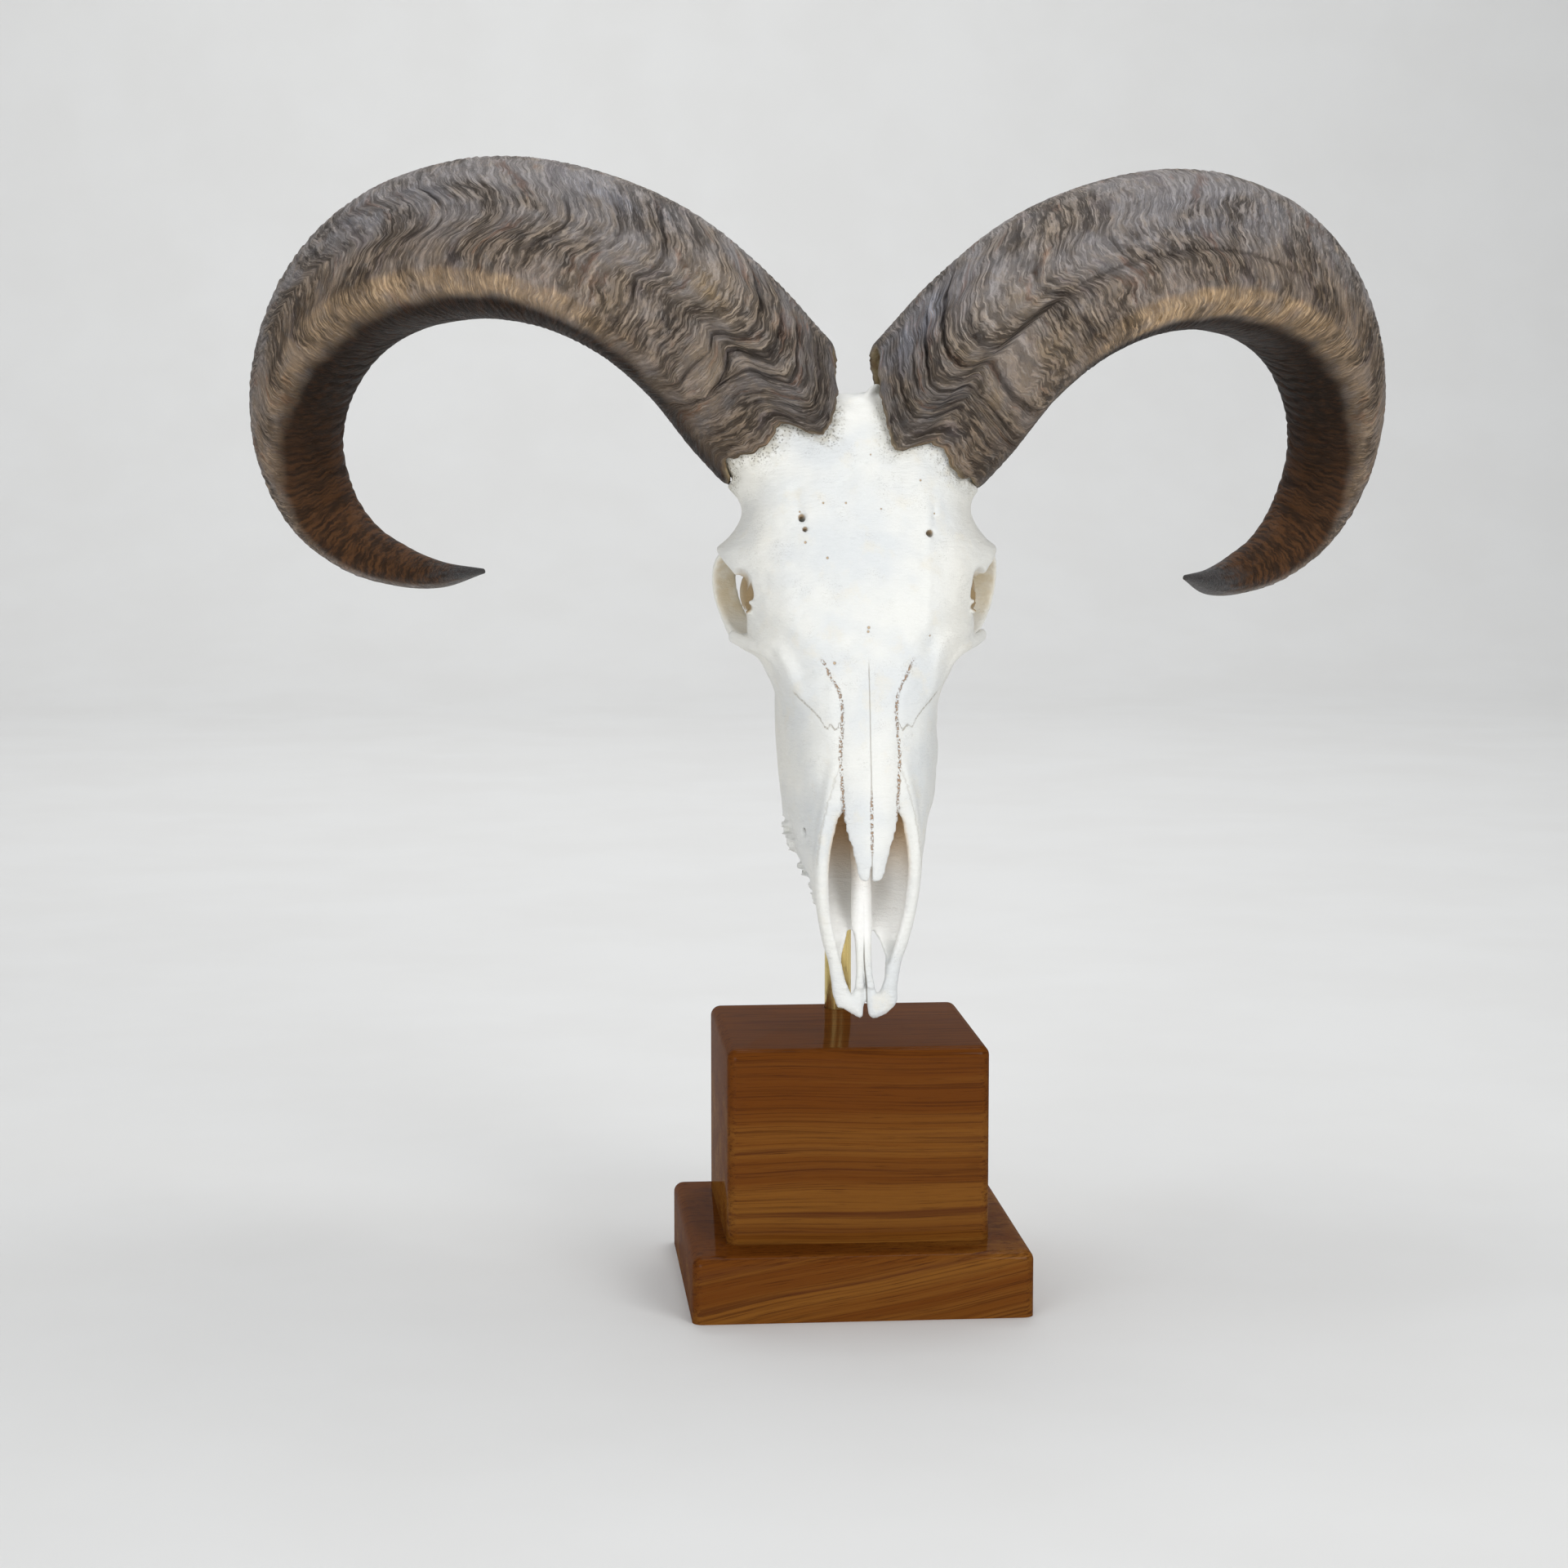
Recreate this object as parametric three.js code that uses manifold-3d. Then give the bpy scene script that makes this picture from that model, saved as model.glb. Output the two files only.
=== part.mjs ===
import * as THREE from "three";
import { mergeVertices } from "three/addons/utils/BufferGeometryUtils.js";
import Module from "manifold-3d";

const wasm = await Module();
wasm.setup();

// Driving dimensions in millimetres: X to the right, Y to the back, Z up from the plinth's underside
const PLINTH = { width: 155, depth: 156, height: 30.5, back: 0 };
const BLOCK = { width: 120, depth: 120, height: 90, back: 5 };
const WOOD_EDGE = { corner: 5, top: 4.5, steps: 3 };
const ROD = { radius: 6.35, x: 1, y: 52, foot: 60.5, top: 350, sides: 24 };

// The clearance where one piece stands in another
const FIT = 0.3;

// The skull hangs nose down. Its numbers have their origin at the snout's tip, and this scale
const SKULL_AT = new THREE.Vector3(4.33, -15.25, 132.77);
const SKULL_SCALE = 0.9904;

// The skull's horizontal slices from the snout to the crown: height, then seven points of the
// right half from the middle of the face round the cheek to the middle of the palate or nape
const SKULL_SLICES = [
  [36, [0, -25], [9, -26], [16, -27], [18.5, -24], [15.5, -19.5], [9, -17.5], [0, -17]],
  [48, [0, -29], [12, -31], [19, -30], [21.5, -21], [19, -12.5], [10, -10], [0, -10]],
  [60, [0, -33], [13, -35], [20.5, -33], [24.4, -16], [22.5, -5], [12, -3], [0, -3]],
  [73, [0, -36], [14, -38], [22.5, -35], [28.2, -7], [27.5, 3], [15, 4], [0, 4]],
  [87, [0, -41], [13, -41], [24, -33], [31.4, -5], [31.5, 8], [18, 10], [0, 9]],
  [102, [0, -47.6], [12.8, -44], [25, -31], [35.2, 1], [34, 14], [20, 16], [0, 14]],
  [117, [0, -45.6], [13.5, -42], [27, -28], [37.4, 5], [35, 19], [21, 22], [0, 20]],
  [132, [0, -43], [14, -39], [28, -26], [38, 7], [35.5, 25], [22, 28], [0, 26]],
  [147, [0, -39.5], [16, -36], [30, -25], [39.3, 8], [36, 31], [22, 34], [0, 32]],
  [158, [0, -36.5], [20, -33], [35, -22], [43.5, 10], [38, 36], [22, 40], [0, 38]],
  [170, [0, -33.5], [24, -30], [42, -17], [51, 6], [40, 38], [24, 48], [0, 46]],
  [182, [0, -30], [27, -27], [46, -13], [54, 6], [40, 38], [27, 62], [0, 63]],
  [196, [0, -26], [28, -23], [48, -10], [56, 7], [39, 36], [31, 76], [0, 88]],
  [210, [0, -21.5], [28, -18], [50, -6], [62, 10], [40, 36], [35, 88], [0, 108]],
  [222, [0, -17], [28, -13], [48, -2], [59.5, 17], [44, 42], [38, 88], [0, 113]],
  [236, [0, -12], [28, -9], [46, 3], [56, 23], [47, 46], [39, 84], [0, 111]],
  [250, [0, -5.5], [28, -4], [47, 6], [58.5, 30], [49, 50], [38, 80], [0, 104]],
  [264, [0, 1], [24, 0], [44, 9], [57, 34], [48, 54], [35, 76], [0, 95]],
  [276, [0, 8.5], [18, 6], [38, 12], [50, 36], [42, 55], [28, 70], [0, 83]],
  [284, [0, 15], [14, 15], [28, 19], [38, 36], [30, 52], [18, 64], [0, 71]],
  [288, [0, 27], [8, 26], [16, 28], [20, 38], [16, 48], [8, 54], [0, 56]],
];
const SKULL_AROUND = 22;

// The nasal cavity's slices: height, then half width and depth at the opening, the wall and the floor
const CAVITY_SLICES = [
  [26, [11, -60], [11, -33], [11, -27], [7, -24.5]],
  [44, [15.6, -60], [15.6, -35], [16.4, -24], [11, -18.5]],
  [58, [17.4, -60], [17.4, -38], [19, -20], [13, -9.5]],
  [74, [17.6, -60], [17.6, -40], [21, -18], [14, -3]],
  [88, [14.6, -60], [15, -42], [22, -18], [15, 2.5]],
  [96, [12, -60], [12.4, -44], [22, -22], [16, 5]],
  [100, [9, -41.5], [10, -40], [22, -24], [16, 7]],
  [120, [8, -40], [10.5, -38], [24, -18], [16, 13]],
  [140, [8, -36], [11, -34], [25, -14], [15, 20]],
  [156, [6, -30], [10, -27], [20, -8], [12, 24]],
];

// The nasal bones' free ends over the nose opening: height, half width and depth of the ridge
const NASAL_ENDS = [
  [66.8, 3.4, -50.4],
  [69.5, 5.4, -51],
  [80, 8.4, -51],
  [89, 11.4, -50],
  [97, 12.9, -49],
  [112, 13.4, -46.5],
];

// Long bones: points on the right side, each with its half width across and half depth
const PREMAXILLA_ARM = [
  [11.9, -29.4, 18, 3.4, 3],
  [13.5, -30, 27, 3.9, 3.2],
  [16, -31, 36, 4.2, 3.6],
  [18.6, -32.2, 46, 3.6, 4],
  [20.6, -33.6, 58, 3.3, 4.6],
  [21.2, -35.4, 72, 3.5, 5],
  [20.2, -37.8, 87, 3.6, 5],
  [17, -40.4, 103, 3.8, 4],
  [14.5, -41, 116, 3, 3],
];
const PALATINE_PROCESS = [
  [0, -27, 19, 3.8, 2.4],
  [0, -25.4, 36, 4, 2.8],
  [0, -22, 52, 3.2, 5],
  [0, -16, 70, 2.4, 7],
  [0, -8, 88, 2, 9],
];
const ZYGOMATIC_ARCH = [
  [42, 10, 169, 4, 6],
  [50, 21, 172, 3.6, 7],
  [56.5, 35, 177, 3.2, 7],
  [60, 49, 188, 3, 6.5],
  [59.5, 61, 205, 3, 5.5],
  [53, 72, 222, 3.4, 5.5],
  [42, 80, 234, 5, 7],
  [34, 80, 238, 5, 7],
];
const PAROCCIPITAL = [
  [27, 96, 222, 6, 6],
  [29, 104, 209, 4.6, 5],
  [29.5, 111, 196, 2.8, 3.4],
  [29, 114, 188, 1.4, 2],
];
const PTERYGOID = [
  [13, 40, 158, 2, 5],
  [12.5, 50, 166, 1.6, 6],
  [13, 60, 178, 1.8, 6],
  [14, 70, 190, 3, 6],
];

// Rounded forms of the hind skull: half widths, then the centre on the right side or the middle
const CONDYLE = [[10, 10, 12], [13, 107, 223]];
const EAR_CAPSULE = [[8, 9, 9], [20, 88, 200]];
const NAPE_CREST = [[25, 8, 6], [0, 86, 268]];
const BRAIN_OPENING = [[10, 16, 10], [0, 116, 236]];
const THROAT_OPENING = [[5.5, 14, 14], [7, 44, 172]];

// The eye sockets, square to a line that points outward, forward and slightly down
const ORBIT = {
  centre: [56.5, 21, 192.5],
  outward: [0.89, -0.45, -0.2],
  radius: 20.4,
  rim: 2.4,
  depth: 6.5,
  set_in: 5,
  socket: [18.6, 28],
  wider_on_right: 1.2,
};

// The cheek teeth, from the foremost back: height along the jaw, length along the row and half width
const TEETH = [
  [77, 8, 4.6],
  [85.5, 9, 5.4],
  [95, 10, 6],
  [107.5, 14.5, 7],
  [123.5, 16.5, 7.4],
  [141, 18, 7],
];

// The row runs from its start to its end place, and each tooth leans back and outward, in degrees
const TOOTH_ROW = { from: [26.5, 2, 70], to: [29.5, 36, 150] };
const TOOTH = { crown: 9, root: 8, neck: 1.1, top: 1.35, lean_back: 22, lean_out: 8 };

// Small holes for vessels over the eyes and low on the cheeks: place and width on the right side
const FORAMINA = [
  [29.5, -8, 226, 3],
  [30, -16, 97, 3.4],
];
const FORAMEN_DEPTH = 12;

// The gap between the nasal bones' free ends
const NASAL_GAP = { size: [1.1, 14, 10], centre: [0, -50, 66.5] };

// The horn's axis on the right: place and the section's width there
const HORN_AXIS = [
  [11, 28, 250, 78],
  [27, 35, 265.5, 81],
  [43.5, 41.5, 283, 81.5],
  [67, 47.5, 310.5, 79.5],
  [95.5, 54, 334.5, 79],
  [130, 64.5, 350.5, 77.5],
  [167, 80, 357, 76.5],
  [200, 99, 353, 73],
  [225, 120, 343, 68],
  [245, 140, 327, 62],
  [259, 159, 306, 55.5],
  [267, 176, 282, 49.5],
  [267, 189, 254, 43.5],
  [256, 193, 226, 37],
  [238, 184, 208, 28.5],
  [217, 166, 199, 21],
  [197, 138, 196, 13.5],
  [174, 94, 200, 2.4],
];
const HORN_PLANE = [0.539, -0.771, -0.339];
const HORN_CORNERS = { keel: 98, rise: 0.065, keel_rise: 0.03, keel_width: 14 };
const HORN_RINGS = 40;
const RIDGE = { height: 0.9, least: 0.35, centre: 45, width: 70 };

// How far the growth lines run ahead on the front face: reach, angle and half width of each wave
const GROWTH_LOBES = [
  [30, 38, 28],
  [13, 88, 32],
  [-9, 60, 10],
];
const GROWTH_LEAD = 4;

// The section's points, close together over the front face where the growth lines wave
const HORN_TURNS = [-30, -12, 3, 16, 28, 39, 50, 60, 71, 84, 98, 116, 140, 170, 205, 240, 272, 302];

// Where the sheath's rim meets the axis, and how much lower the right horn hangs, in degrees
const RIM_AT = { left: 42, right: 34 };
const HORN_DROP = { left: 0, right: 1.9 };
const HORN_PIVOT = [30, 30, 275];

// The sheath's wall over the bone core, the core's slack round an angle on the inner side of the
// head, and where the hollow and the core start and how far they reach past the rim
const SHEATH = { wall: 4.2, hollow_from: -12, hollow: 108, taper: 0.5 };
const CORE = { from: 8, reach: 104, steps: 4, slack: 7, slack_at: -25, slack_width: 50 };

// A closed tube of points from a cylinder: place(station, direction) gives each point of its side,
// and both ends close at the middle of their ring
function loft(around, along, place) {
  const geometry = new THREE.CylinderGeometry(1, 1, 1, around, along);
  const position = geometry.attributes.position;
  const seen = new THREE.Vector3();
  for (let index = 0; index < position.count; index += 1) {
    seen.fromBufferAttribute(position, index);
    const station = Math.round((0.5 - seen.y) * along);
    const turn = Math.atan2(seen.x, seen.z) / (2 * Math.PI);
    const direction = (Math.round(turn * around) + around) % around;
    const centred = Math.hypot(seen.x, seen.z) < 0.5;
    const point = centred ? middle(around, station, place) : place(station, direction);
    position.setXYZ(index, point.x, point.y, point.z);
  }
  return geometry;
}

function middle(around, station, place) {
  const sum = new THREE.Vector3();
  for (let direction = 0; direction < around; direction += 1) {
    sum.add(place(station, direction));
  }
  return sum.divideScalar(around);
}

// A manifold solid from a closed three.js geometry, turned the right way out
function solid(geometry) {
  const bare = geometry.index ? geometry.clone() : geometry;
  bare.deleteAttribute("normal");
  bare.deleteAttribute("uv");
  const merged = mergeVertices(bare, 1e-4);
  const corners = Array.from(merged.index.array);
  if (signedVolume(merged) < 0) {
    for (let index = 0; index < corners.length; index += 3) {
      [corners[index], corners[index + 1]] = [corners[index + 1], corners[index]];
    }
  }
  const vertProperties = new Float32Array(merged.attributes.position.array);
  const mesh = new wasm.Mesh({ numProp: 3, vertProperties, triVerts: new Uint32Array(corners) });
  return new wasm.Manifold(mesh);
}

function signedVolume(geometry) {
  const { index, attributes } = geometry;
  const [a, b, c] = [new THREE.Vector3(), new THREE.Vector3(), new THREE.Vector3()];
  let total = 0;
  for (let corner = 0; corner < index.count; corner += 3) {
    a.fromBufferAttribute(attributes.position, index.getX(corner));
    b.fromBufferAttribute(attributes.position, index.getX(corner + 1));
    c.fromBufferAttribute(attributes.position, index.getX(corner + 2));
    total += a.dot(b.cross(c)) / 6;
  }
  return total;
}

function fromSolid(manifold) {
  const { vertProperties, triVerts } = manifold.getMesh();
  const geometry = new THREE.BufferGeometry();
  geometry.setAttribute("position", new THREE.BufferAttribute(new Float32Array(vertProperties), 3));
  geometry.setIndex(new THREE.BufferAttribute(new Uint32Array(triVerts), 1));
  const loose = geometry.toNonIndexed();
  loose.computeVertexNormals();
  return loose;
}

// Both sides of a piece that is given for the right side, moved right where the skull is uneven
function bothSides(geometry, shift = 0) {
  const mirrored = geometry.clone().applyMatrix4(new THREE.Matrix4().makeScale(-1, 1, 1));
  return [geometry, mirrored].map((side) => solid(side.translate(shift, 0, 0)));
}

function addAll(start, pieces) {
  return pieces.reduce((sum, piece) => sum.add(piece), start);
}

function cutAll(start, pieces) {
  return pieces.reduce((rest, piece) => rest.subtract(piece), start);
}

// A closed ring through slice points given for the right half only
function ringOf(points) {
  const right = points.map(([x, y]) => new THREE.Vector3(x, y, 0));
  const left = right
    .filter((point) => point.x > 0)
    .reverse()
    .map((point) => new THREE.Vector3(-point.x, point.y, 0));
  return new THREE.CatmullRomCurve3([...right, ...left], true, "centripetal");
}

function slicedSolid(slices, around) {
  const rings = slices.map(([height, ...points]) => {
    const curve = ringOf(points);
    return Array.from({ length: around }, (_, direction) =>
      curve.getPoint(direction / around).setZ(height),
    );
  });
  const place = (station, direction) => rings[station][direction].clone();
  return solid(loft(around, slices.length - 1, place));
}

// A bone of oval section along a list of points with half widths
function bone(points, around, steps) {
  const path = new THREE.CatmullRomCurve3(points.map(([x, y, z]) => new THREE.Vector3(x, y, z)));
  const girth = new THREE.CatmullRomCurve3(points.map(([, , , a, b]) => new THREE.Vector3(a, b, 0)));
  const place = (station, direction) => {
    const along = path.getTangent(station / steps);
    const across = new THREE.Vector3(1, 0, 0).addScaledVector(along, -along.x).normalize();
    const deep = new THREE.Vector3().crossVectors(along, across);
    const half = girth.getPoint(station / steps);
    const turn = (direction / around) * 2 * Math.PI;
    return path
      .getPoint(station / steps)
      .addScaledVector(across, half.x * Math.cos(turn))
      .addScaledVector(deep, half.y * Math.sin(turn));
  };
  return loft(around, steps, place);
}

function ball([radii, centre], around) {
  const geometry = new THREE.SphereGeometry(1, around, around / 2);
  return geometry.scale(...radii).translate(...centre);
}

// A cylinder that stands along Z between two heights
function upright(radius, x, y, bottom, top, sides) {
  const geometry = new THREE.CylinderGeometry(radius, radius, top - bottom, sides);
  return geometry.rotateX(Math.PI / 2).translate(x, y, (top + bottom) / 2);
}

// The right eye socket's own axes
function orbitFrame() {
  const outward = new THREE.Vector3(...ORBIT.outward).normalize();
  const back = new THREE.Vector3(0, 1, 0).addScaledVector(outward, -outward.y).normalize();
  const up = new THREE.Vector3().crossVectors(outward, back);
  return new THREE.Matrix4()
    .makeBasis(back, up, outward)
    .setPosition(...ORBIT.centre);
}

// The rim is a short flared tube of bone round the eye
function orbitRim() {
  const geometry = new THREE.TorusGeometry(ORBIT.radius, ORBIT.rim, 5, 18);
  geometry.scale(1, 1, ORBIT.depth / ORBIT.rim).translate(0, 0, -ORBIT.set_in);
  return geometry.applyMatrix4(orbitFrame());
}

function orbitSocket() {
  const [wide, deep] = ORBIT.socket;
  const geometry = new THREE.SphereGeometry(1, 12, 6);
  geometry.scale(wide, wide, deep).translate(0, 0, -ORBIT.set_in);
  return geometry.applyMatrix4(orbitFrame());
}

// The teeth stand out from the jaw's edge, backward and a little outward
function tooth([height, length, half]) {
  const { crown, root, neck, top, lean_back, lean_out } = TOOTH;
  const start = new THREE.Vector3(...TOOTH_ROW.from);
  const end = new THREE.Vector3(...TOOTH_ROW.to);
  const foot = start.clone().lerp(end, (height - start.z) / (end.z - start.z));
  const geometry = new THREE.CylinderGeometry(half * neck, half * top, crown + root, 4);
  geometry.rotateY(Math.PI / 4);
  geometry.scale(1, 1, length / 2.1 / half);
  geometry.translate(0, crown - root / 2, 0);
  geometry.rotateX(THREE.MathUtils.degToRad(lean_back));
  geometry.rotateZ(THREE.MathUtils.degToRad(-lean_out));
  return geometry.translate(foot.x, foot.y, foot.z);
}

// A rounded bump over an angle: one at its centre, fading to nothing away from it
function bump(angle, centre, width) {
  const away = THREE.MathUtils.euclideanModulo(angle - centre + 180, 360) - 180;
  return Math.exp(-((away / width) ** 2));
}

// The horn's section is a round-cornered triangle. Its angle runs from the curl's outer edge (0)
// over the broad front face to the keel, along the underside and back over the rear face
function hornSection(angle) {
  const corner = Math.cos(3 * THREE.MathUtils.degToRad(angle - HORN_CORNERS.keel));
  const crest = bump(angle, HORN_CORNERS.keel, HORN_CORNERS.keel_width);
  return 1 + HORN_CORNERS.rise * corner + HORN_CORNERS.keel_rise * crest;
}

// How far the growth lines run ahead of the section: two lobes with a notch on the front face
function growthLead(angle) {
  const waves = GROWTH_LOBES.map(([reach, centre, width]) => reach * bump(angle, centre, width));
  return waves.reduce((sum, wave) => sum + wave, GROWTH_LEAD);
}

const hornCurve = new THREE.CatmullRomCurve3(
  HORN_AXIS.map(([x, y, z]) => new THREE.Vector3(x, y, z)),
);
hornCurve.arcLengthDivisions = 400;
const hornWidth = new THREE.CatmullRomCurve3(
  HORN_AXIS.map(([, , , width]) => new THREE.Vector3(width, 0, 0)),
);
const HORN_LENGTH = hornCurve.getLength();

// A point of the horn: its distance along the axis, its turn and how far inside the surface
function hornPoint(distance, angle, inside, swell) {
  const share = THREE.MathUtils.clamp(distance / HORN_LENGTH, 0, 1);
  const at = hornCurve.getUtoTmapping(share);
  const along = hornCurve.getTangent(at);
  const front = new THREE.Vector3(...HORN_PLANE).addScaledVector(
    along,
    -along.dot(new THREE.Vector3(...HORN_PLANE)),
  ).normalize();
  const outer = new THREE.Vector3().crossVectors(front, along);
  const half = hornWidth.getPoint(at).x / 2;
  const reach = Math.max(half * hornSection(angle) * swell - inside, 0.3);
  const turn = THREE.MathUtils.degToRad(angle);
  return hornCurve
    .getPoint(at)
    .addScaledVector(outer, reach * Math.cos(turn))
    .addScaledVector(front, reach * Math.sin(turn))
    .addScaledVector(along, Math.min(0, distance));
}

// The sheath's outside: rings that follow the growth lines, each second one standing proud
function sheathOutside(side, inside) {
  const room = HORN_LENGTH - RIM_AT[side];
  const place = (station, direction) => {
    const grown = (station / HORN_RINGS) * room;
    const angle = HORN_TURNS[direction];
    const fade = (1 - grown / room) ** 1.5;
    const rim = station === 0 ? inside : 0;
    const distance = RIM_AT[side] + grown + rim - growthLead(angle) * fade;
    const strength = RIDGE.least + (1 - RIDGE.least) * bump(angle, RIDGE.centre, RIDGE.width);
    const ridge = station % 2 === 1 ? RIDGE.height * strength * (1 - grown / room) : 0;
    return hornPoint(distance, angle, inside - ridge, 1);
  };
  return hornSolid(side, loft(HORN_TURNS.length, HORN_RINGS, place));
}

// The hollow in the sheath and the bone core that fills it, as one form with two sizes
function hornInside(side, stations, inside, slack) {
  const place = (station, direction) => {
    const distance = stations[station];
    const taper = 1 - SHEATH.taper * (Math.max(0, distance - RIM_AT[side]) / SHEATH.hollow) ** 2;
    const angle = HORN_TURNS[direction];
    const loose = slack * bump(angle, CORE.slack_at, CORE.slack_width);
    return hornPoint(distance, angle, inside + loose, taper);
  };
  return hornSolid(side, loft(HORN_TURNS.length, stations.length - 1, place));
}

// Both share these distances, so the core keeps its clearance all the way up the hollow
function coreStations(side) {
  const reach = RIM_AT[side] + CORE.reach - CORE.from;
  return Array.from({ length: CORE.steps + 1 }, (_, step) => CORE.from + (step / CORE.steps) * reach);
}

// The move that takes a horn given for the right side to its own side of the head
function toSide(side) {
  const drop = THREE.MathUtils.degToRad(HORN_DROP[side]);
  const pivot = new THREE.Vector3(...HORN_PIVOT);
  const turned = new THREE.Matrix4()
    .makeTranslation(pivot.x, pivot.y, pivot.z)
    .multiply(new THREE.Matrix4().makeRotationY(drop))
    .multiply(new THREE.Matrix4().makeTranslation(-pivot.x, -pivot.y, -pivot.z));
  return side === "left" ? new THREE.Matrix4().makeScale(-1, 1, 1).multiply(turned) : turned;
}

function hornSolid(side, geometry) {
  return solid(geometry.applyMatrix4(toSide(side)));
}

function sheath(side) {
  const stations = [SHEATH.hollow_from, ...coreStations(side), RIM_AT[side] + SHEATH.hollow];
  return sheathOutside(side, 0).subtract(hornInside(side, stations, SHEATH.wall, 0));
}

function core(side) {
  return hornInside(side, coreStations(side), SHEATH.wall + FIT, CORE.slack);
}

// The skull: the sliced body, what stands out from it, and what is hollow in it
function skull() {
  const body = slicedSolid(SKULL_SLICES, SKULL_AROUND);
  const cavity = slicedSolid(CAVITY_SLICES.map(closeCavity), 16);
  const outer = addAll(body, [
    ...bothSides(bone(PREMAXILLA_ARM, 6, 8)),
    ...bothSides(orbitRim(), ORBIT.wider_on_right),
    ...bothSides(bone(ZYGOMATIC_ARCH, 6, 8)),
    ...bothSides(bone(PAROCCIPITAL, 5, 2)),
    ...bothSides(bone(PTERYGOID, 4, 2)),
    ...bothSides(ball(CONDYLE, 8)),
    ...bothSides(ball(EAR_CAPSULE, 6)),
    solid(ball(NAPE_CREST, 8)),
    ...TEETH.flatMap((entry) => bothSides(tooth(entry))),
  ]);
  const hollowed = cutAll(outer, [
    cavity,
    ...bothSides(orbitSocket(), ORBIT.wider_on_right),
    solid(ball(BRAIN_OPENING, 10)),
    ...bothSides(ball(THROAT_OPENING, 8)),
    ...FORAMINA.flatMap(foramen),
  ]);
  const snout = addAll(hollowed, [
    ...bothSides(snoutTip()),
    solid(bone(PALATINE_PROCESS, 8, 4)),
    solid(nasalEnds()),
  ]);
  const gap = new THREE.BoxGeometry(...NASAL_GAP.size).translate(...NASAL_GAP.centre);
  const cut = cutAll(snout, [solid(gap), rodHole()]);
  const sides = ["left", "right"];
  const shorn = cutAll(cut, sides.map((side) => sheathOutside(side, -FIT)));
  return addAll(shorn, sides.map(core));
}

// The hole that the rod stands in, taken into the skull's own numbers
function rodHole() {
  const hole = upright(ROD.radius + FIT, ROD.x, ROD.y, ROD.foot, ROD.top + FIT, ROD.sides);
  const scale = new THREE.Matrix4().makeScale(SKULL_SCALE, SKULL_SCALE, SKULL_SCALE);
  return solid(hole.applyMatrix4(scale.setPosition(SKULL_AT).invert()));
}

// A cavity slice with its middle points added at the front and the floor
function closeCavity([height, ...points]) {
  const front = points[0][1];
  const floor = points[points.length - 1][1];
  return [height, [0, front], ...points, [0, floor + 0.5]];
}

function foramen([x, y, height, width]) {
  const geometry = new THREE.CylinderGeometry(width / 2, width / 2, FORAMEN_DEPTH, 6);
  return bothSides(geometry.translate(x, y, height));
}

// The snout's tip on the right: a thin plate that holds the arm and the middle process together
function snoutTip() {
  const shape = new THREE.Shape();
  shape.moveTo(0.7, 1.2);
  shape.bezierCurveTo(3, -0.4, 8, -0.2, 11, 2.2);
  shape.bezierCurveTo(14, 4.4, 15.8, 8, 15.5, 12);
  shape.lineTo(15, 24);
  shape.lineTo(9.6, 24);
  shape.quadraticCurveTo(9, 17, 6.2, 11.8);
  shape.quadraticCurveTo(4, 15, 3.8, 24);
  shape.lineTo(-0.3, 24);
  shape.lineTo(-0.3, 7);
  const geometry = new THREE.ExtrudeGeometry(shape, { depth: 4.6, bevelEnabled: false, curveSegments: 4 });
  return geometry.rotateX(Math.PI / 2).translate(0, -25.8, 0);
}

// The nasal bones' free ends: an arched plate that widens upward
function nasalEnds() {
  const around = 14;
  const place = (station, direction) => {
    const [height, half, ridge] = NASAL_ENDS[station];
    const turn = (direction / around) * 2 * Math.PI;
    const x = half * Math.sin(turn);
    const arch = 3.2 * (x / 13) ** 2;
    return new THREE.Vector3(x, ridge + 1.6 - 1.6 * Math.cos(turn) + arch, height);
  };
  return loft(around, NASAL_ENDS.length - 1, place);
}

// A wooden piece with rounded upright corners, a rounded top edge and a sharp foot
function woodenPiece({ width, depth, height, back }, foot) {
  const { corner, top, steps } = WOOD_EDGE;
  const around = 4 * (steps + 1);
  const place = (station, direction) => {
    const quarter = Math.floor(direction / (steps + 1));
    const turn = ((quarter + (direction % (steps + 1)) / steps) * Math.PI) / 2;
    const rise = (Math.max(0, station - 1) / steps) * (Math.PI / 2);
    const radius = corner - top * (1 - Math.cos(rise));
    const signX = quarter === 0 || quarter === 3 ? 1 : -1;
    const signY = quarter < 2 ? 1 : -1;
    const z = station === 0 ? 0 : height - top + top * Math.sin(rise);
    return new THREE.Vector3(
      signX * (width / 2 - corner) + radius * Math.cos(turn),
      signY * (depth / 2 - corner) + radius * Math.sin(turn) + back,
      foot + z,
    );
  };
  return solid(loft(around, steps + 1, place));
}

function named(name, manifold, look) {
  const mesh = new THREE.Mesh(fromSolid(manifold), new THREE.MeshStandardMaterial(look));
  mesh.name = name;
  return mesh;
}

const BONE = { color: 0xe9e8e2, roughness: 0.7, metalness: 0 };
const HORN = { color: 0x5d5048, roughness: 0.55, metalness: 0 };
const WOOD = { color: 0x6b3a1e, roughness: 0.25, metalness: 0 };
const BRASS = { color: 0xc9a250, roughness: 0.3, metalness: 1 };

const head = new THREE.Group();
head.position.copy(SKULL_AT);
head.scale.setScalar(SKULL_SCALE);
head.add(named("skull", skull(), BONE));
head.add(named("left_horn", sheath("left"), HORN));
head.add(named("right_horn", sheath("right"), HORN));

const bore = upright(ROD.radius + FIT, ROD.x, ROD.y, ROD.foot, ROD.top, ROD.sides);
const standingBlock = woodenPiece(BLOCK, PLINTH.height).subtract(solid(bore));
const rod = solid(upright(ROD.radius, ROD.x, ROD.y, ROD.foot, ROD.top, ROD.sides));

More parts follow.
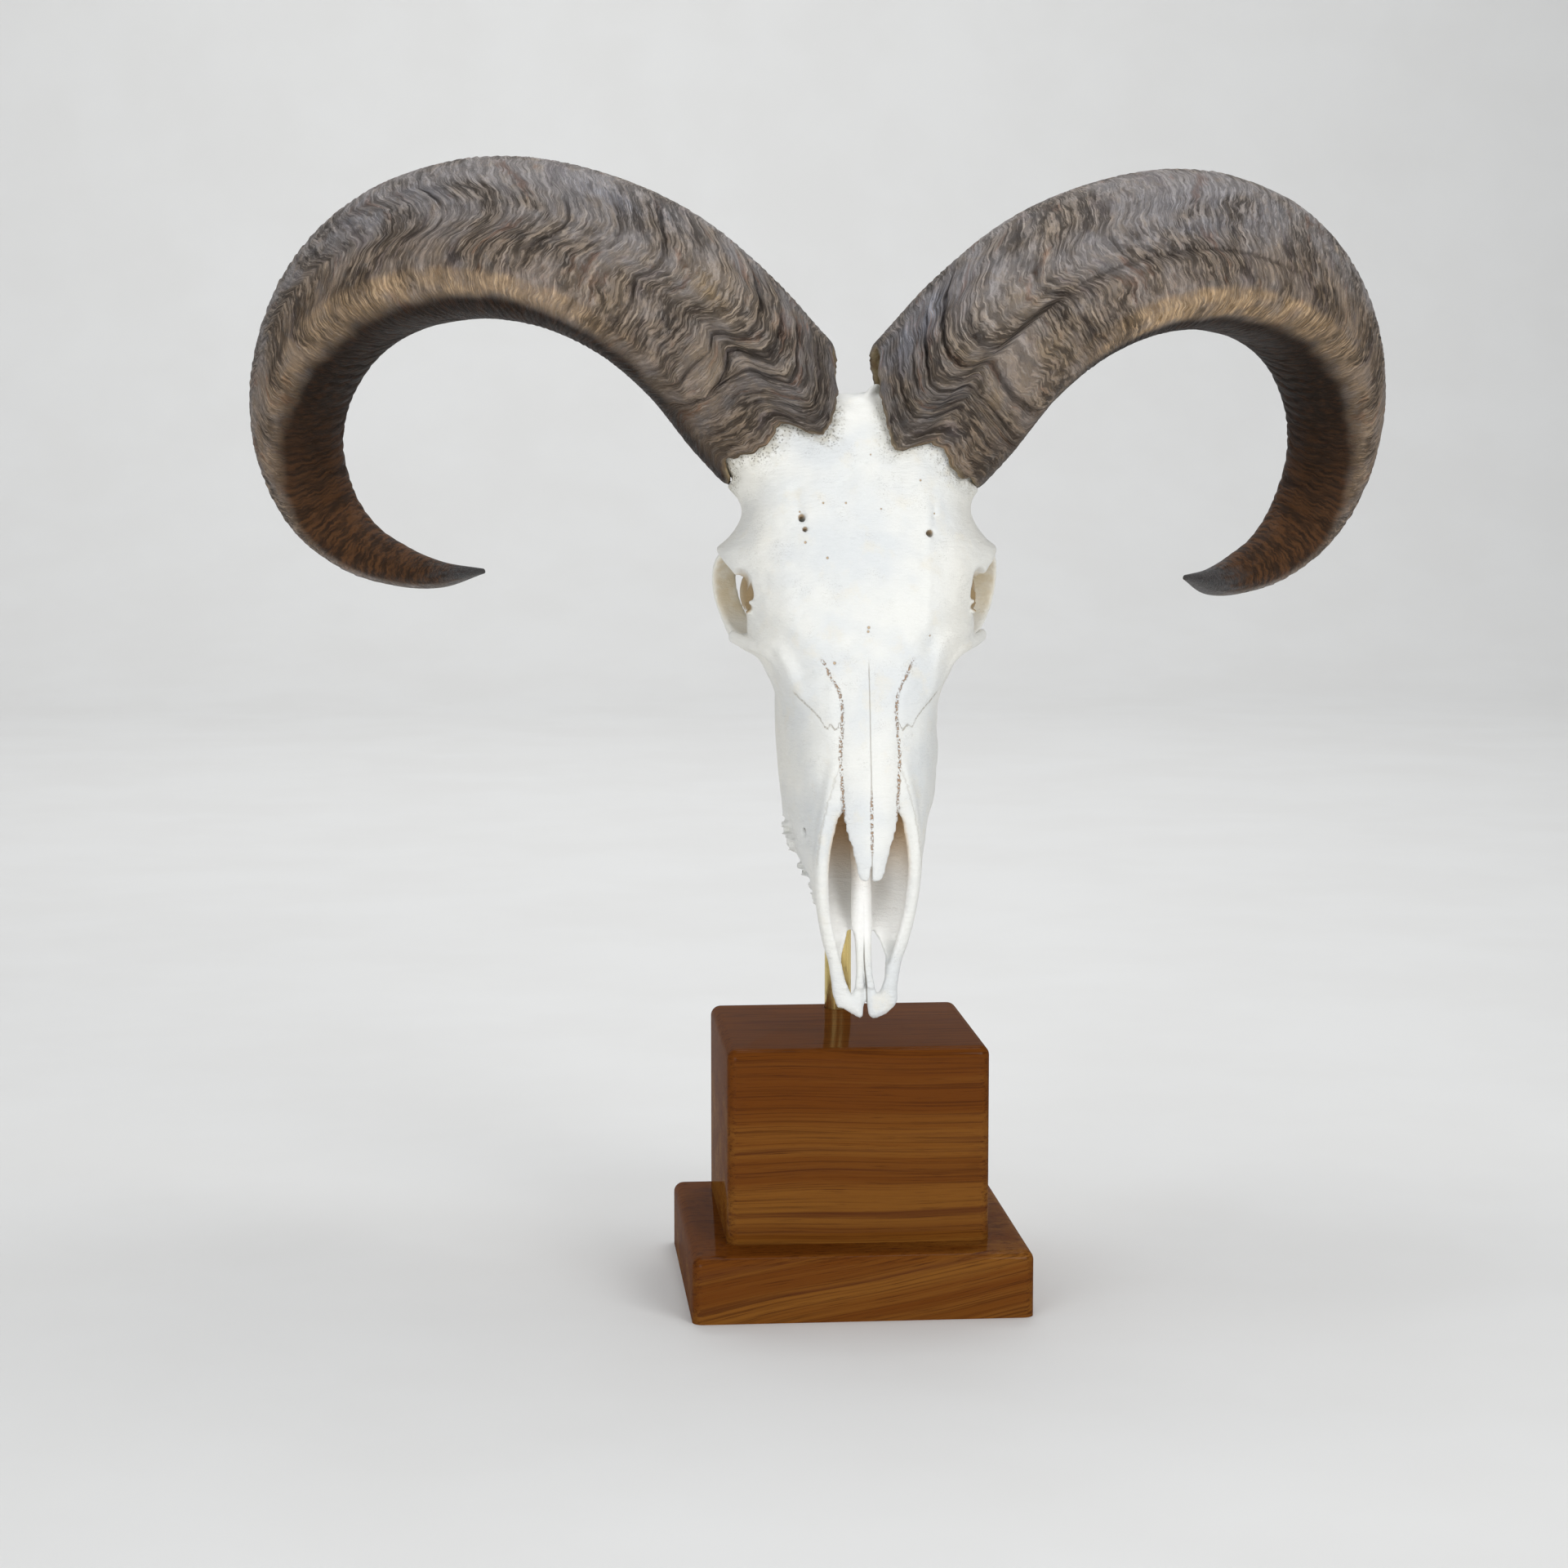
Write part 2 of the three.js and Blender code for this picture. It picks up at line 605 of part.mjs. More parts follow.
const mount = new THREE.Group();
mount.add(head);
mount.add(named("rod", rod, BRASS));
mount.add(named("block", standingBlock, WOOD));
mount.add(named("plinth", woodenPiece(PLINTH, 0), WOOD));

export default mount;
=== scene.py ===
# Barbary sheep skull mount: the dressed skull, horn sheaths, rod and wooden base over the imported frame
import math

import bpy
import numpy as np
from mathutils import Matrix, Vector


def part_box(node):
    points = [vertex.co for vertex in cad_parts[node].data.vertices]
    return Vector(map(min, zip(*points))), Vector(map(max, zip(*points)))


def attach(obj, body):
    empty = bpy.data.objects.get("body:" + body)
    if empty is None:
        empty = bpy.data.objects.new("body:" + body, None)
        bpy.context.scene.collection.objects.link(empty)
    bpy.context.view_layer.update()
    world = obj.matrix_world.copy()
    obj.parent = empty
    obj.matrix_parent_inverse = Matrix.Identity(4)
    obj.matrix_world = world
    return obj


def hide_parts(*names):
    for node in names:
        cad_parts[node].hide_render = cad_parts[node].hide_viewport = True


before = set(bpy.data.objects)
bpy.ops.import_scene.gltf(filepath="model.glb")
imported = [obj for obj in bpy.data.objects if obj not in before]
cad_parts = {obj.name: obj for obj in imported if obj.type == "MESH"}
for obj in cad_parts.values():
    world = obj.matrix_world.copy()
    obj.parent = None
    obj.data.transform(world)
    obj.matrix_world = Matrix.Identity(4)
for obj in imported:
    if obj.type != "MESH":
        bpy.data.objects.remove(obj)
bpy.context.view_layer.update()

bl_info = {
    "name": "Barbary sheep skull mount",
    "version": (1, 0, 0),
    "blender": (4, 5, 0),
    "location": "3D View > Sidebar > Skull mount",
    "description": "Dresses the skull, horn sheaths, brass rod and wooden base of the mount",
    "category": "Object",
}

# Head numbers are millimetres in the skull's own frame: x to the right horn, y to the nape, z up the face
HEAD_AT = np.array([4.33, -15.25, 132.77])
HEAD_SCALE = 0.9904

# Half rings of the skull's body, front to back, at heights up the face
SKULL_SLICES = {
    36: ((0, -25), (9, -26), (16, -27), (18.5, -24), (15.5, -19.5), (9, -17.5), (0, -17)),
    48: ((0, -29), (12, -31), (19, -30), (21.5, -21), (19, -12.5), (10, -10), (0, -10)),
    60: ((0, -33), (13, -35), (20.5, -33), (24.4, -16), (22.5, -5), (12, -3), (0, -3)),
    73: ((0, -36), (14, -38), (22.5, -35), (28.2, -7), (27.5, 3), (15, 4), (0, 4)),
    87: ((0, -41), (13, -41), (24, -33), (31.4, -5), (31.5, 8), (18, 10), (0, 9)),
    102: ((0, -47.6), (12.8, -44), (25, -31), (35.2, 1), (34, 14), (20, 16), (0, 14)),
    117: ((0, -45.6), (13.5, -42), (27, -28), (36.6, 5), (34.6, 19), (21, 22), (0, 20)),
    132: ((0, -43), (14, -39), (28, -26), (36.6, 7), (34.8, 25), (22, 28), (0, 26)),
    147: ((0, -39.5), (16, -36), (30, -25), (38, 8), (35.6, 31), (22, 34), (0, 32)),
    158: ((0, -36.5), (20, -33), (35, -22), (43.5, 10), (38, 36), (22, 40), (0, 38)),
    170: ((0, -33.5), (24, -30), (42, -17), (51, 6), (40, 38), (24, 48), (0, 46)),
    182: ((0, -30), (27, -27), (46, -13), (54, 6), (40, 38), (27, 62), (0, 63)),
    196: ((0, -26), (28, -23), (48, -10), (56, 7), (39, 36), (31, 76), (0, 88)),
    205: ((0, -23.2), (28, -20), (49, -8), (60.5, 9), (42, 36), (33, 82), (0, 100)),
    210: ((0, -21.5), (28, -18), (50, -6), (64, 13), (46, 34), (35, 88), (0, 108)),
    214: ((0, -20), (28, -16.4), (50, -4.6), (65.8, 19), (50, 36), (36, 89), (0, 110)),
    218: ((0, -18.5), (28, -14.8), (49, -3.4), (61.5, 19), (47, 38), (37, 89), (0, 112)),
    224: ((0, -16.4), (28, -12.5), (47.5, -1), (56.5, 18.5), (45, 42), (38, 88), (0, 113)),
    231: ((0, -14), (28, -10.6), (46.5, 1.2), (53.8, 20), (45.5, 44), (38.5, 86), (0, 112.5)),
    236: ((0, -12), (28, -9), (46, 3), (54.8, 23), (47, 46), (39, 84), (0, 111)),
    243: ((0, -8.9), (28, -6.6), (46.5, 4.5), (60, 27), (48, 48), (38.5, 82), (0, 108)),
    250: ((0, -5.5), (28, -4), (47, 6), (60, 30), (49, 50), (38, 80), (0, 104)),
    264: ((0, 1), (24, 0), (44, 9), (57, 34), (48, 54), (35, 76), (0, 95)),
    276: ((0, 8.5), (18, 6), (38, 12), (50, 36), (42, 55), (28, 70), (0, 83)),
    284: ((0, 15), (14, 15), (28, 19), (38, 36), (30, 52), (18, 64), (0, 71)),
    288: ((0, 27), (8, 26), (16, 28), (20, 38), (16, 48), (8, 54), (0, 56)),
}
# Half rings of the nasal cavity, which is open at the front below the nasal bones
CAVITY_SLICES = {
    26: ((0, -60), (11, -60), (11, -33), (11, -27), (7, -24.5), (0, -24)),
    44: ((0, -60), (15.6, -60), (15.6, -35), (16.4, -24), (11, -18.5), (0, -18)),
    58: ((0, -60), (17.4, -60), (17.4, -38), (19, -20), (13, -9.5), (0, -9)),
    74: ((0, -60), (17.6, -60), (17.6, -40), (21, -18), (14, -3), (0, -2.5)),
    88: ((0, -60), (14.6, -60), (15, -42), (22, -18), (15, 2.5), (0, 3)),
    96: ((0, -60), (12, -60), (12.4, -44), (22, -22), (16, 5), (0, 5.5)),
    100: ((0, -41.5), (9, -41.5), (10, -40), (22, -24), (16, 7), (0, 7.5)),
    120: ((0, -40), (8, -40), (10.5, -38), (24, -18), (16, 13), (0, 13.5)),
    140: ((0, -36), (8, -36), (11, -34), (25, -14), (15, 20), (0, 20.5)),
    156: ((0, -30), (6, -30), (10, -27), (20, -8), (12, 24), (0, 24.5)),
}
# Free ends of the nasal bones: height, half width, ridge
NASAL_ENDS = (
    (66, 4, -50.2),
    (67.5, 5.4, -50.6),
    (70.5, 6.4, -51),
    (80, 8.5, -51),
    (89, 11.4, -50),
    (97, 12.9, -49),
    (112, 13.4, -46.5),
)
# Slender bones as points with half width and half depth, given for the right side
PREMAXILLA_ARM = (
    (10.4, -28.4, 6, 2.6, 1.4),
    (11.6, -29, 14, 3.4, 2.2),
    (12.4, -29.4, 19, 3.4, 2.7),
    (13.5, -30, 27, 3.6, 3.1),
    (16, -31, 36, 3.8, 3.5),
    (18.6, -32.2, 46, 3.5, 4),
    (20.6, -33.6, 58, 3.3, 4.6),
    (21.2, -35.4, 72, 3.5, 5),
    (20.4, -36.2, 87, 3.3, 4.6),
    (17.4, -37.8, 103, 3.2, 3.6),
    (15, -38.4, 116, 2.4, 2.4),
)
PALATINE_PROCESS = (
    (0.3, -28, 7, 3.2, 1.2),
    (0.3, -27.2, 17, 3.9, 2.2),
    (-0.9, -25.4, 36, 4.6, 2.8),
    (-1.2, -22, 50, 4.8, 5),
    (-0.8, -17, 66, 4.2, 6.6),
    (-0.3, -13, 78, 3, 8),
    (0, -8, 88, 2, 9),
)
ZYGOMATIC_ARCH = (
    (42, 10, 169, 4, 6),
    (50, 21, 172, 3.6, 7),
    (56.5, 35, 177, 3.2, 7),
    (59, 49, 187, 3, 6.5),
    (56, 62, 201, 3, 5.5),
    (47, 71, 215, 3.4, 5.5),
    (39, 78, 227, 5, 7),
    (33, 80, 234, 5, 7),
)
CHEEK_CREST = (
    (58.5, 12, 173.5, 2.1, 3.2), (54, 3, 171.5, 2, 3), (50, -4.4, 170, 1.7, 2.6), (46, -10.4, 168, 1.4, 2.4),
    (42, -13.8, 164.5, 1.2, 2.2), (37, -16, 158, 1, 1.8), (34.6, -18, 154, 0.8, 1.4),
)
CHEEK_HOLLOW = (
    (52, 9, 164, 4, 5), (47, -1, 160, 4.4, 6), (43.6, -6, 153, 4, 7), (41.6, -8, 145, 3, 6),
    (40.4, -9, 138, 1.5, 4),
)
PAROCCIPITAL = ((27, 96, 222, 6, 6), (29, 104, 209, 4.6, 5), (29.5, 111, 196, 2.8, 3.4), (29, 114, 188, 1.4, 2))
JAW_EDGE = (
    (18.6, -10, 58, 2.2, 3), (22, -8, 63.5, 2.8, 3.6), (24, -6, 69, 3.2, 4), (26, 0, 79, 4.4, 5.5),
    (27.4, 4, 89, 5.4, 6), (29.5, 12, 104, 6.2, 6), (31, 24, 128, 6.6, 6), (31, 36, 150, 6, 6),
)
# A small broken knob on the crown, on the right side alone
CROWN_KNOB = ((4.5, 18, 283, 2, 2.4), (7.6, 21, 287, 2, 2.2), (10, 24, 288.4, 1.6, 2), (12.5, 27, 287, 1.2, 1.6))
PTERYGOID = ((13, 40, 158, 2, 5), (12.5, 50, 166, 1.6, 6), (13, 60, 178, 1.8, 6), (14, 70, 190, 3, 6))
# The two end plates of the snout, as x and height
SNOUT_PLATES = (
    (
        (1.2, 7.4), (1.5, 3.7), (2.1, 1), (3.2, -0.2), (5.2, -0.4), (10.2, 1.6), (14.3, 5.3), (15.6, 8.6),
        (15.3, 12), (14.7, 16.9), (15, 25), (10, 25), (9.4, 19), (8.2, 15), (6.3, 11.6), (4.9, 14.5), (4.1, 19),
        (3.6, 25),
        (0.7, 25), (0.9, 12),
    ),
    (
        (-0.4, 7), (-0.4, 3.2), (-0.6, 1), (-1.2, 0), (-2.4, -0.2), (-8.1, 3.2), (-11.8, 6.2), (-13.9, 9.5),
        (-14.8, 12), (-14, 16.9), (-14.4, 25), (-10.2, 25), (-8.8, 17), (-5.8, 11.4), (-4.3, 14.6), (-3.6, 25),
        (0.1, 25), (-0.1, 12),
    ),
)
# The palate's front sheet, and the two fissures through it, as x and height
PALATE_SHEET = ((-15, 56), (-17.5, 38), (-13.5, 20), (-9, 14), (9, 14), (13.5, 20), (17.5, 38), (15, 56))
FISSURES = (
    (
        (3.5, 39.3), (5.1, 39), (7.6, 35.2), (10.2, 28), (9.8, 23.5), (9.4, 18), (7.8, 13.4), (6.4, 10.9),
        (4.9, 14), (3.7, 20), (3.3, 30),
    ),
    (
        (-4.2, 38.4), (-5.1, 39.7), (-7.3, 39.9), (-8.2, 36), (-10.3, 29), (-10.7, 24.6), (-8.8, 17),
        (-5.8, 10.9), (-4.3, 14.6), (-3.6, 22), (-3.8, 31),
    ),
)
# The eye sockets: the ring round each, how far it is set in, and the hollow's radius and depth
ORBIT = {"centre": (56.5, 21, 192.5), "outward": (0.89, -0.45, -0.2), "radius": 20.4, "rim": 2.4, "depth": 6.5}
ORBIT_SET_IN = 5
SOCKET = (18.6, 28)
# Both sockets stand this much over to the right
ORBIT_SHIFT = np.array((1.2, 0, 0))
# Notch, hooks and inner wall at each socket's inner front edge: centre, radii, and whether it is bone
SOCKET_DETAIL = (
    ((55.9, -4, 193.5), (6, 7, 8), False),
    ((56.5, -2, 199), (5.5, 8, 7), False),
    ((49.2, 13, 194), (6, 5, 10.5), True),
    ((51, -5, 190.2), (1.6, 1.8, 1.1), True),
    ((52.3, -3, 185.6), (1.7, 1.8, 1), True),
)
# Holes for nerves and vessels: start and end of each, with its radius
FORAMINA = (
    ((-28.6, -13, 230.4), (-27.5, -3, 226.5), 1.7),
    ((-30.4, -8.4, 236), (-28.9, -10.2, 231), 1.0),
    ((-27, -13.6, 224.4), (-27, -9, 223), 1.15),
    ((30.8, -13.5, 222.7), (29.6, -5, 219.7), 1.75),
    ((34, -7.2, 234.6), (33, -8.6, 229.4), 0.95),
    ((-28.8, -21, 84.5), (-23, -18, 88), 1.7),
    ((29.5, -18, 96), (24, -17, 98), 1.6),
)
# Lines on the face as x and height, with depth (above nothing is a hollow) and width
FACE_RELIEF = (
    (((-50, 183), (-46, 180), (-39, 176), (-33, 168), (-29, 159)), 1.5, 4.5),
    (((-47, 172), (-41, 168.5), (-37, 161.5), (-34, 154), (-31, 148)), -1.1, 3.6),
    (((52, 185), (38, 181), (31.5, 177), (29, 168)), 1.4, 4.5),
    (((49, 177), (42, 176), (36, 172), (33, 164), (31, 152)), -1.0, 3.8),
    (((0, 300), (0, 262), (-0.5, 240)), -1.2, 5),
    (((11, 290), (11.5, 262), (12, 244)), 1.0, 5),
    (((-11, 290), (-11.5, 262), (-12, 244)), 1.0, 5),
    (((-31, 242), (-30, 234), (-28.5, 228)), 0.9, 2.6),
    (((30.3, 228), (29.5, 205), (28, 176)), -0.45, 2),
    (((36.4, 208.4), (37, 207)), 0.7, 4.5),
    (((-40, 214), (-30, 206), (-22, 204)), 0.5, 5),
    (((13.4, 150), (13.4, 124), (13, 98)), 0.45, 1.6),
    (((-13.4, 150), (-13.4, 124), (-13, 98)), 0.45, 1.6),
    (((15, 116), (19.5, 100), (22.6, 86), (24, 74)), 0.6, 1.5),
    (((-15, 116), (-19.5, 100), (-22.6, 86), (-24, 74)), 0.6, 1.5),
    (((-27, 104), (-28, 94), (-26, 82)), 1.0, 4),
    (((-22, 128), (-24, 112)), -0.5, 7),
    (((24, 128), (25, 112)), -0.5, 7),
)
# How deep a tooth is, how much of that is root, and how far the crowns lean back and outwards
TOOTH_DEPTH, TOOTH_ROOT = 17, 8
TOOTH_LEAN, TOOTH_OUT = math.radians(22), math.radians(-8)
# Cheek teeth: height on the jaw, length along the row, half width
TEETH = ((77, 8, 4.6), (85.5, 9, 5.4), (95, 10, 6), (107.5, 14.5, 7), (123.5, 16.5, 7.4), (141, 18, 7))
TOOTH_ROW = ((26.5, 2, 70), (29.5, 36, 150))

# The right horn's axis and width; the left one mirrors it
HORN_AXIS = np.array(
    (
        (11, 28, 250, 78), (27, 35, 265.5, 81), (43.5, 41.5, 283, 81.5), (67, 47.5, 310.5, 79.5),
        (95.5, 54, 334.5, 79), (130, 64.5, 350.5, 77.5), (167, 80, 357, 76.5), (200, 99, 353, 73),
        (225, 120, 343, 68), (245, 140, 327, 62), (259, 159, 306, 55.5), (267, 176, 282, 49.5),
        (267, 189, 254, 43.5), (256, 193, 226, 37), (238, 184, 208, 28.5), (217, 166, 199, 21),
        (197, 138, 196, 13.5), (174, 94, 200, 2.4),
    )
)
HORN_FRONT = np.array((0.539, -0.771, -0.339))
HORN_PIVOT = np.array((30, 30, 275))
HORN_DROP = {"left": 0.0, "right": math.radians(1.9)}
KEEL = 98
# Growth lines: at a distance up the horn, how far each runs ahead of it at these angles round the section
LINE_ANGLES = (-60, -30, -15, 0, 10, 20, 30, 38, 45, 50, 55, 60, 70, 80, 90, 100, 120, 180, 240)
GROWTH_LINES = {
    "left": {
        42: (-6, 0, -5, -17, -26, -31, -35, -36, -31, -22, -18, -18, -20, -18, -14, -9, -15, -4, -4),
        76: (-2, -2, -5, -17, -26, -35, -38, -30, -20, -18, -17, -16, -15, -15, -13, -9, -8, -3, -2),
        88: (-1, -2, -6, -17, -23, -29, -30, -24, -18, -17, -20, -23, -26, -28, -24, -17, -10, -4, -2),
        101: (-1, -1, -4, -16, -24, -28, -29, -26, -21, -19, -22, -25, -25, -25, -26, -20, -12, -4, -2),
        140: (0, -1, -2, -8, -13, -18, -21, -21, -20, -18, -16, -17, -20, -20, -21, -18, -10, -3, -1),
        178: (0, 0, -1, -4, -8, -13, -17, -18, -17, -15, -13, -9, -6, -4, -4, -4, -3, -1, 0),
        233: (0, 0, 0, -1, -3, -5, -13, -18, -20, -21, -20, -18, -9, -4, -2, -2, -1, 0, 0),
        292: (0, 0, 0, 0, -1, -2, -5, -8, -10, -12, -16, -20, -19, -14, -6, -3, -1, 0, 0),
        420: (0, 0, 0, 0, 0, -1, -2, -3, -4, -5, -5, -6, -5, -4, -2, -1, 0, 0, 0),
    },
    "right": {
        42: (-2, -1, -7, -20, -28, -33, -38, -41, -42, -41, -34, -28, -25, -27, -27, -21, -17, -12, -8),
        56: (-1, -1, -6, -19, -27, -33, -37, -38, -35, -29, -20, -20, -20, -20, -20, -16, -12, -8, -5),
        82: (-1, -1, -5, -17, -28, -38, -45, -45, -41, -32, -31, -32, -32, -32, -32, -31, -22, -8, -3),
        97: (-1, -2, -8, -20, -29, -36, -40, -40, -36, -30, -29, -31, -34, -35, -33, -31, -20, -6, -2),
        112: (-1, -2, -6, -19, -30, -37, -40, -40, -38, -35, -12, -13, -15, -15, -15, -13, -8, -3, -1),
        132: (0, 0, -3, -8, -12, -17, -22, -24, -24, -20, -16, -15, -15, -15, -15, -13, -8, -2, -1),
        160: (0, 0, -1, -3, -5, -8, -13, -14, -14, -13, -11, -9, -6, -5, -4, -3, -2, -1, 0),
        265: (0, 0, 0, 0, -2, -5, -7, -8, -9, -10, -10, -11, -11, -7, -3, -1, 0, 0, 0),
        420: (0, 0, 0, 0, 0, -1, -2, -3, -3, -4, -4, -4, -3, -2, -1, 0, 0, 0, 0),
    },
}
# Deep grooves along growth lines: distance up the horn, depth, half width, first and last angle
DEEP_GROOVES = {
    "left": (
        (58, 0.6, 1.2, -10, 75), (76, 1.5, 1.6, -4, 80), (88, 1.3, 1.5, -20, 85), (101, 1.6, 1.7, -15, 95),
        (118, 0.8, 1.3, 5, 90), (129, 0.9, 1.4, 10, 60), (140, 1.4, 1.6, -5, 100), (158, 0.7, 1.5, 20, 100),
        (178, 1.2, 1.6, 25, 80), (205, 0.7, 1.6, 15, 70), (233, 1.3, 1.8, 15, 72), (252, 0.8, 1.7, 20, 75),
        (270, 0.9, 1.8, 20, 75), (292, 1.0, 1.9, 15, 85), (312, 0.7, 1.9, 10, 80), (335, 0.6, 1.9, 0, 80),
    ),
    "right": (
        (56, 1.0, 1.3, 15, 62), (68, 0.6, 1.3, 0, 60), (82, 1.6, 1.7, -20, 105), (97, 1.7, 1.8, -22, 105),
        (112, 1.2, 1.5, 15, 54), (121, 0.7, 1.4, 55, 105), (132, 1.1, 1.6, 20, 100), (146, 0.7, 1.5, 60, 105),
        (160, 0.9, 1.6, 25, 62), (185, 0.7, 1.7, 60, 95), (205, 0.8, 1.7, 0, 60), (232, 0.6, 1.8, 0, 70),
        (265, 0.8, 1.8, 15, 95), (295, 0.5, 1.9, 0, 80),
    ),
}
# Soft swellings between the folds: distance, angle, height, spread along, spread in angle
HORN_SWELLS = {
    "left": ((95, 27, 2.0, 16, 20), (72, 66, 1.6, 12, 13), (56, 62, -0.8, 10, 10), (130, 75, 0.9, 16, 14)),
    "right": ((52, 66, 1.6, 12, 12), (62, 40, 1.2, 9, 14), (96, 40, 1.0, 14, 16), (95, 80, 1.2, 18, 16)),
}
# The long groove that splits the right horn's front face: distance and angle
FACE_GROOVE = ((70, 52), (100, 53), (115, 54), (130, 56), (150, 59), (170, 62), (190, 65), (215, 72), (240, 78))
# Angle at which the painted shade of the underside begins, at distances up the horn
UNDERSIDE = {
    "left": (
        (60, 100, 160, 200, 240, 300, 340, 380, 420, 480),
        (101, 101, 102, 107, 113, 118, 112, 104, 92, 66),
    ),
    "right": (
        (60, 100, 140, 180, 220, 300, 340, 380, 420, 480),
        (112, 110, 112, 116, 121, 119, 115, 110, 98, 66),
    ),
}
# Thickness of a sheath's wall, its gap from the bone core, and the length of its hollow
WALL = 4.2
GAP = 0.3
HOLLOW_LENGTH = 108
# Radius of the tube in growth coordinates that carries the horns' patterns
PATTERN_RADIUS = 40
# Metres of air round the rod in the block's bore, and the bore's depth
BORE_GAP, BORE_DEPTH = 0.0003, 0.12
# The photo's camera: its lens in millimetres, its place in metres, and how far it looks down and right
PHOTO_LENS = 79.5
CAMERA_AT = (-0.1683, -1.5934, 0.4194)
LOOK_DOWN, LOOK_RIGHT = 0.1145, 0.0868
SKULL_FACES_MOST = 96000
# How far the bone core stands off the sheath at the back of the crown
SLACK = 12


# Number work shared by the pieces
def to_world(points):
    return (HEAD_AT + HEAD_SCALE * np.asarray(points)) / 1000


def curve_through(points, steps):
    """Points on a smooth open curve through the given ones."""
    points = np.asarray(points, float)
    line = np.vstack([2 * points[0] - points[1], points, 2 * points[-1] - points[-2]])
    made = []
    for before, start, end, after in zip(line, line[1:], line[2:], line[3:]):
        steps_between = ((before, start), (start, end), (end, after))
        gaps = [max(np.sum((b - a)[:3] ** 2) ** 0.25, 1e-4) for a, b in steps_between]
        leave = (start - before) / gaps[0] - (end - before) / (gaps[0] + gaps[1]) + (end - start) / gaps[1]
        reach = (end - start) / gaps[1] - (after - start) / (gaps[1] + gaps[2]) + (after - end) / gaps[2]
        leave, reach = leave * gaps[1], reach * gaps[1]
        for step in range(steps):
            t = step / steps
            bend = (-3 * start + 3 * end - 2 * leave - reach) * t * t
            made.append(start + leave * t + bend + (2 * start - 2 * end + leave + reach) * t**3)
    made.append(line[-2])
    return np.array(made)


def ring_through(points, steps):
    """Points on a smooth closed curve through the given ones."""
    count = len(points)
    turned = [points[i % count] for i in range(-2, count + 3)]
    return curve_through(turned, steps)[2 * steps : (2 + count) * steps]


def eased(knots, values, at):
    """Values between knots, smooth in slope."""
    knots, values, at = np.asarray(knots, float), np.asarray(values, float), np.clip(at, knots[0], knots[-1])
    slopes = np.gradient(values, knots, axis=0)
    index = np.clip(np.searchsorted(knots, at, side="right") - 1, 0, len(knots) - 2)
    gap = knots[index + 1] - knots[index]
    t = (at - knots[index]) / gap
    shape = (-1,) + (1,) * (values.ndim - 1)
    t, gap = t.reshape(shape), gap.reshape(shape)
    first, last = values[index], values[index + 1]
    return (
        (2 * t**3 - 3 * t**2 + 1) * first
        + (t**3 - 2 * t**2 + t) * gap * slopes[index]
        + (3 * t**2 - 2 * t**3) * last
        + (t**3 - t**2) * gap * slopes[index + 1]
    )


def step_between(low, high, value):
    t = np.clip((value - low) / (high - low), 0, 1)
    return t * t * (3 - 2 * t)


def bump(angle, centre, width):
    away = (angle - centre + 180) % 360 - 180
    return np.exp(-((away / width) ** 2))


def patchy(u, v, seed, around=None):
    """Smooth random values about zero on a lattice of whole numbers, which repeats after `around` in v."""
    lattice = np.random.default_rng(seed).uniform(-1, 1, (256, 256))
    iu, iv = np.floor(u).astype(int), np.floor(v).astype(int)
    fu, fv = u - iu, v - iv
    fu, fv = fu * fu * (3 - 2 * fu), fv * fv * (3 - 2 * fv)
    turn = around or 256
    row, next_row = iu % 256, (iu + 1) % 256
    column, next_column = iv % turn, (iv + 1) % turn
    low = lattice[row, column] * (1 - fv) + lattice[row, next_column] * fv
    high = lattice[next_row, column] * (1 - fv) + lattice[next_row, next_column] * fv
    return low * (1 - fu) + high * fu


def blend_min(a, b, soft):
    share = np.clip(0.5 + 0.5 * (b - a) / soft, 0, 1)
    return b * (1 - share) + a * share - soft * share * (1 - share)


def blend_max(a, b, soft):
    return -blend_min(-a, -b, soft)


def oval_gap(offsets, radii):
    """Distance from an oval or ellipsoid, near enough close to its surface."""
    first = np.sqrt(sum((o / r) ** 2 for o, r in zip(offsets, radii)))
    second = np.sqrt(sum((o / r**2) ** 2 for o, r in zip(offsets, radii)))
    return first * (first - 1) / np.maximum(second, 1e-6)


def outline_gap(x, z, outline):
    """Signed distance in a plane from a closed outline, less than nothing inside it."""
    best = np.full(x.shape, 1e9)
    inside = np.zeros(x.shape, bool)
    for (x0, z0), (x1, z1) in zip(outline, outline[1:] + outline[:1]):
        ex, ez = x1 - x0, z1 - z0
        t = np.clip(((x - x0) * ex + (z - z0) * ez) / (ex * ex + ez * ez), 0, 1)
        best = np.minimum(best, (x - x0 - t * ex) ** 2 + (z - z0 - t * ez) ** 2)
        if z0 != z1:
            crosses = (z0 > z) != (z1 > z)
            inside ^= crosses & (x < (x1 - x0) * (z - z0) / (z1 - z0) + x0)
    return np.where(inside, -1, 1) * np.sqrt(best)


def line_gap(x, z, line):
    """Distance in a plane from an open line, and how far along it the nearest point is, 0 to 1."""
    best, share = np.full(x.shape, 1e9), np.zeros(x.shape)
    for index, ((x0, z0), (x1, z1)) in enumerate(zip(line, line[1:])):
        ex, ez = x1 - x0, z1 - z0
        t = np.clip(((x - x0) * ex + (z - z0) * ez) / (ex * ex + ez * ez), 0, 1)
        away = (x - x0 - t * ex) ** 2 + (z - z0 - t * ez) ** 2
        share = np.where(away < best, (index + t) / (len(line) - 1), share)
        best = np.minimum(best, away)
    return np.sqrt(best), share


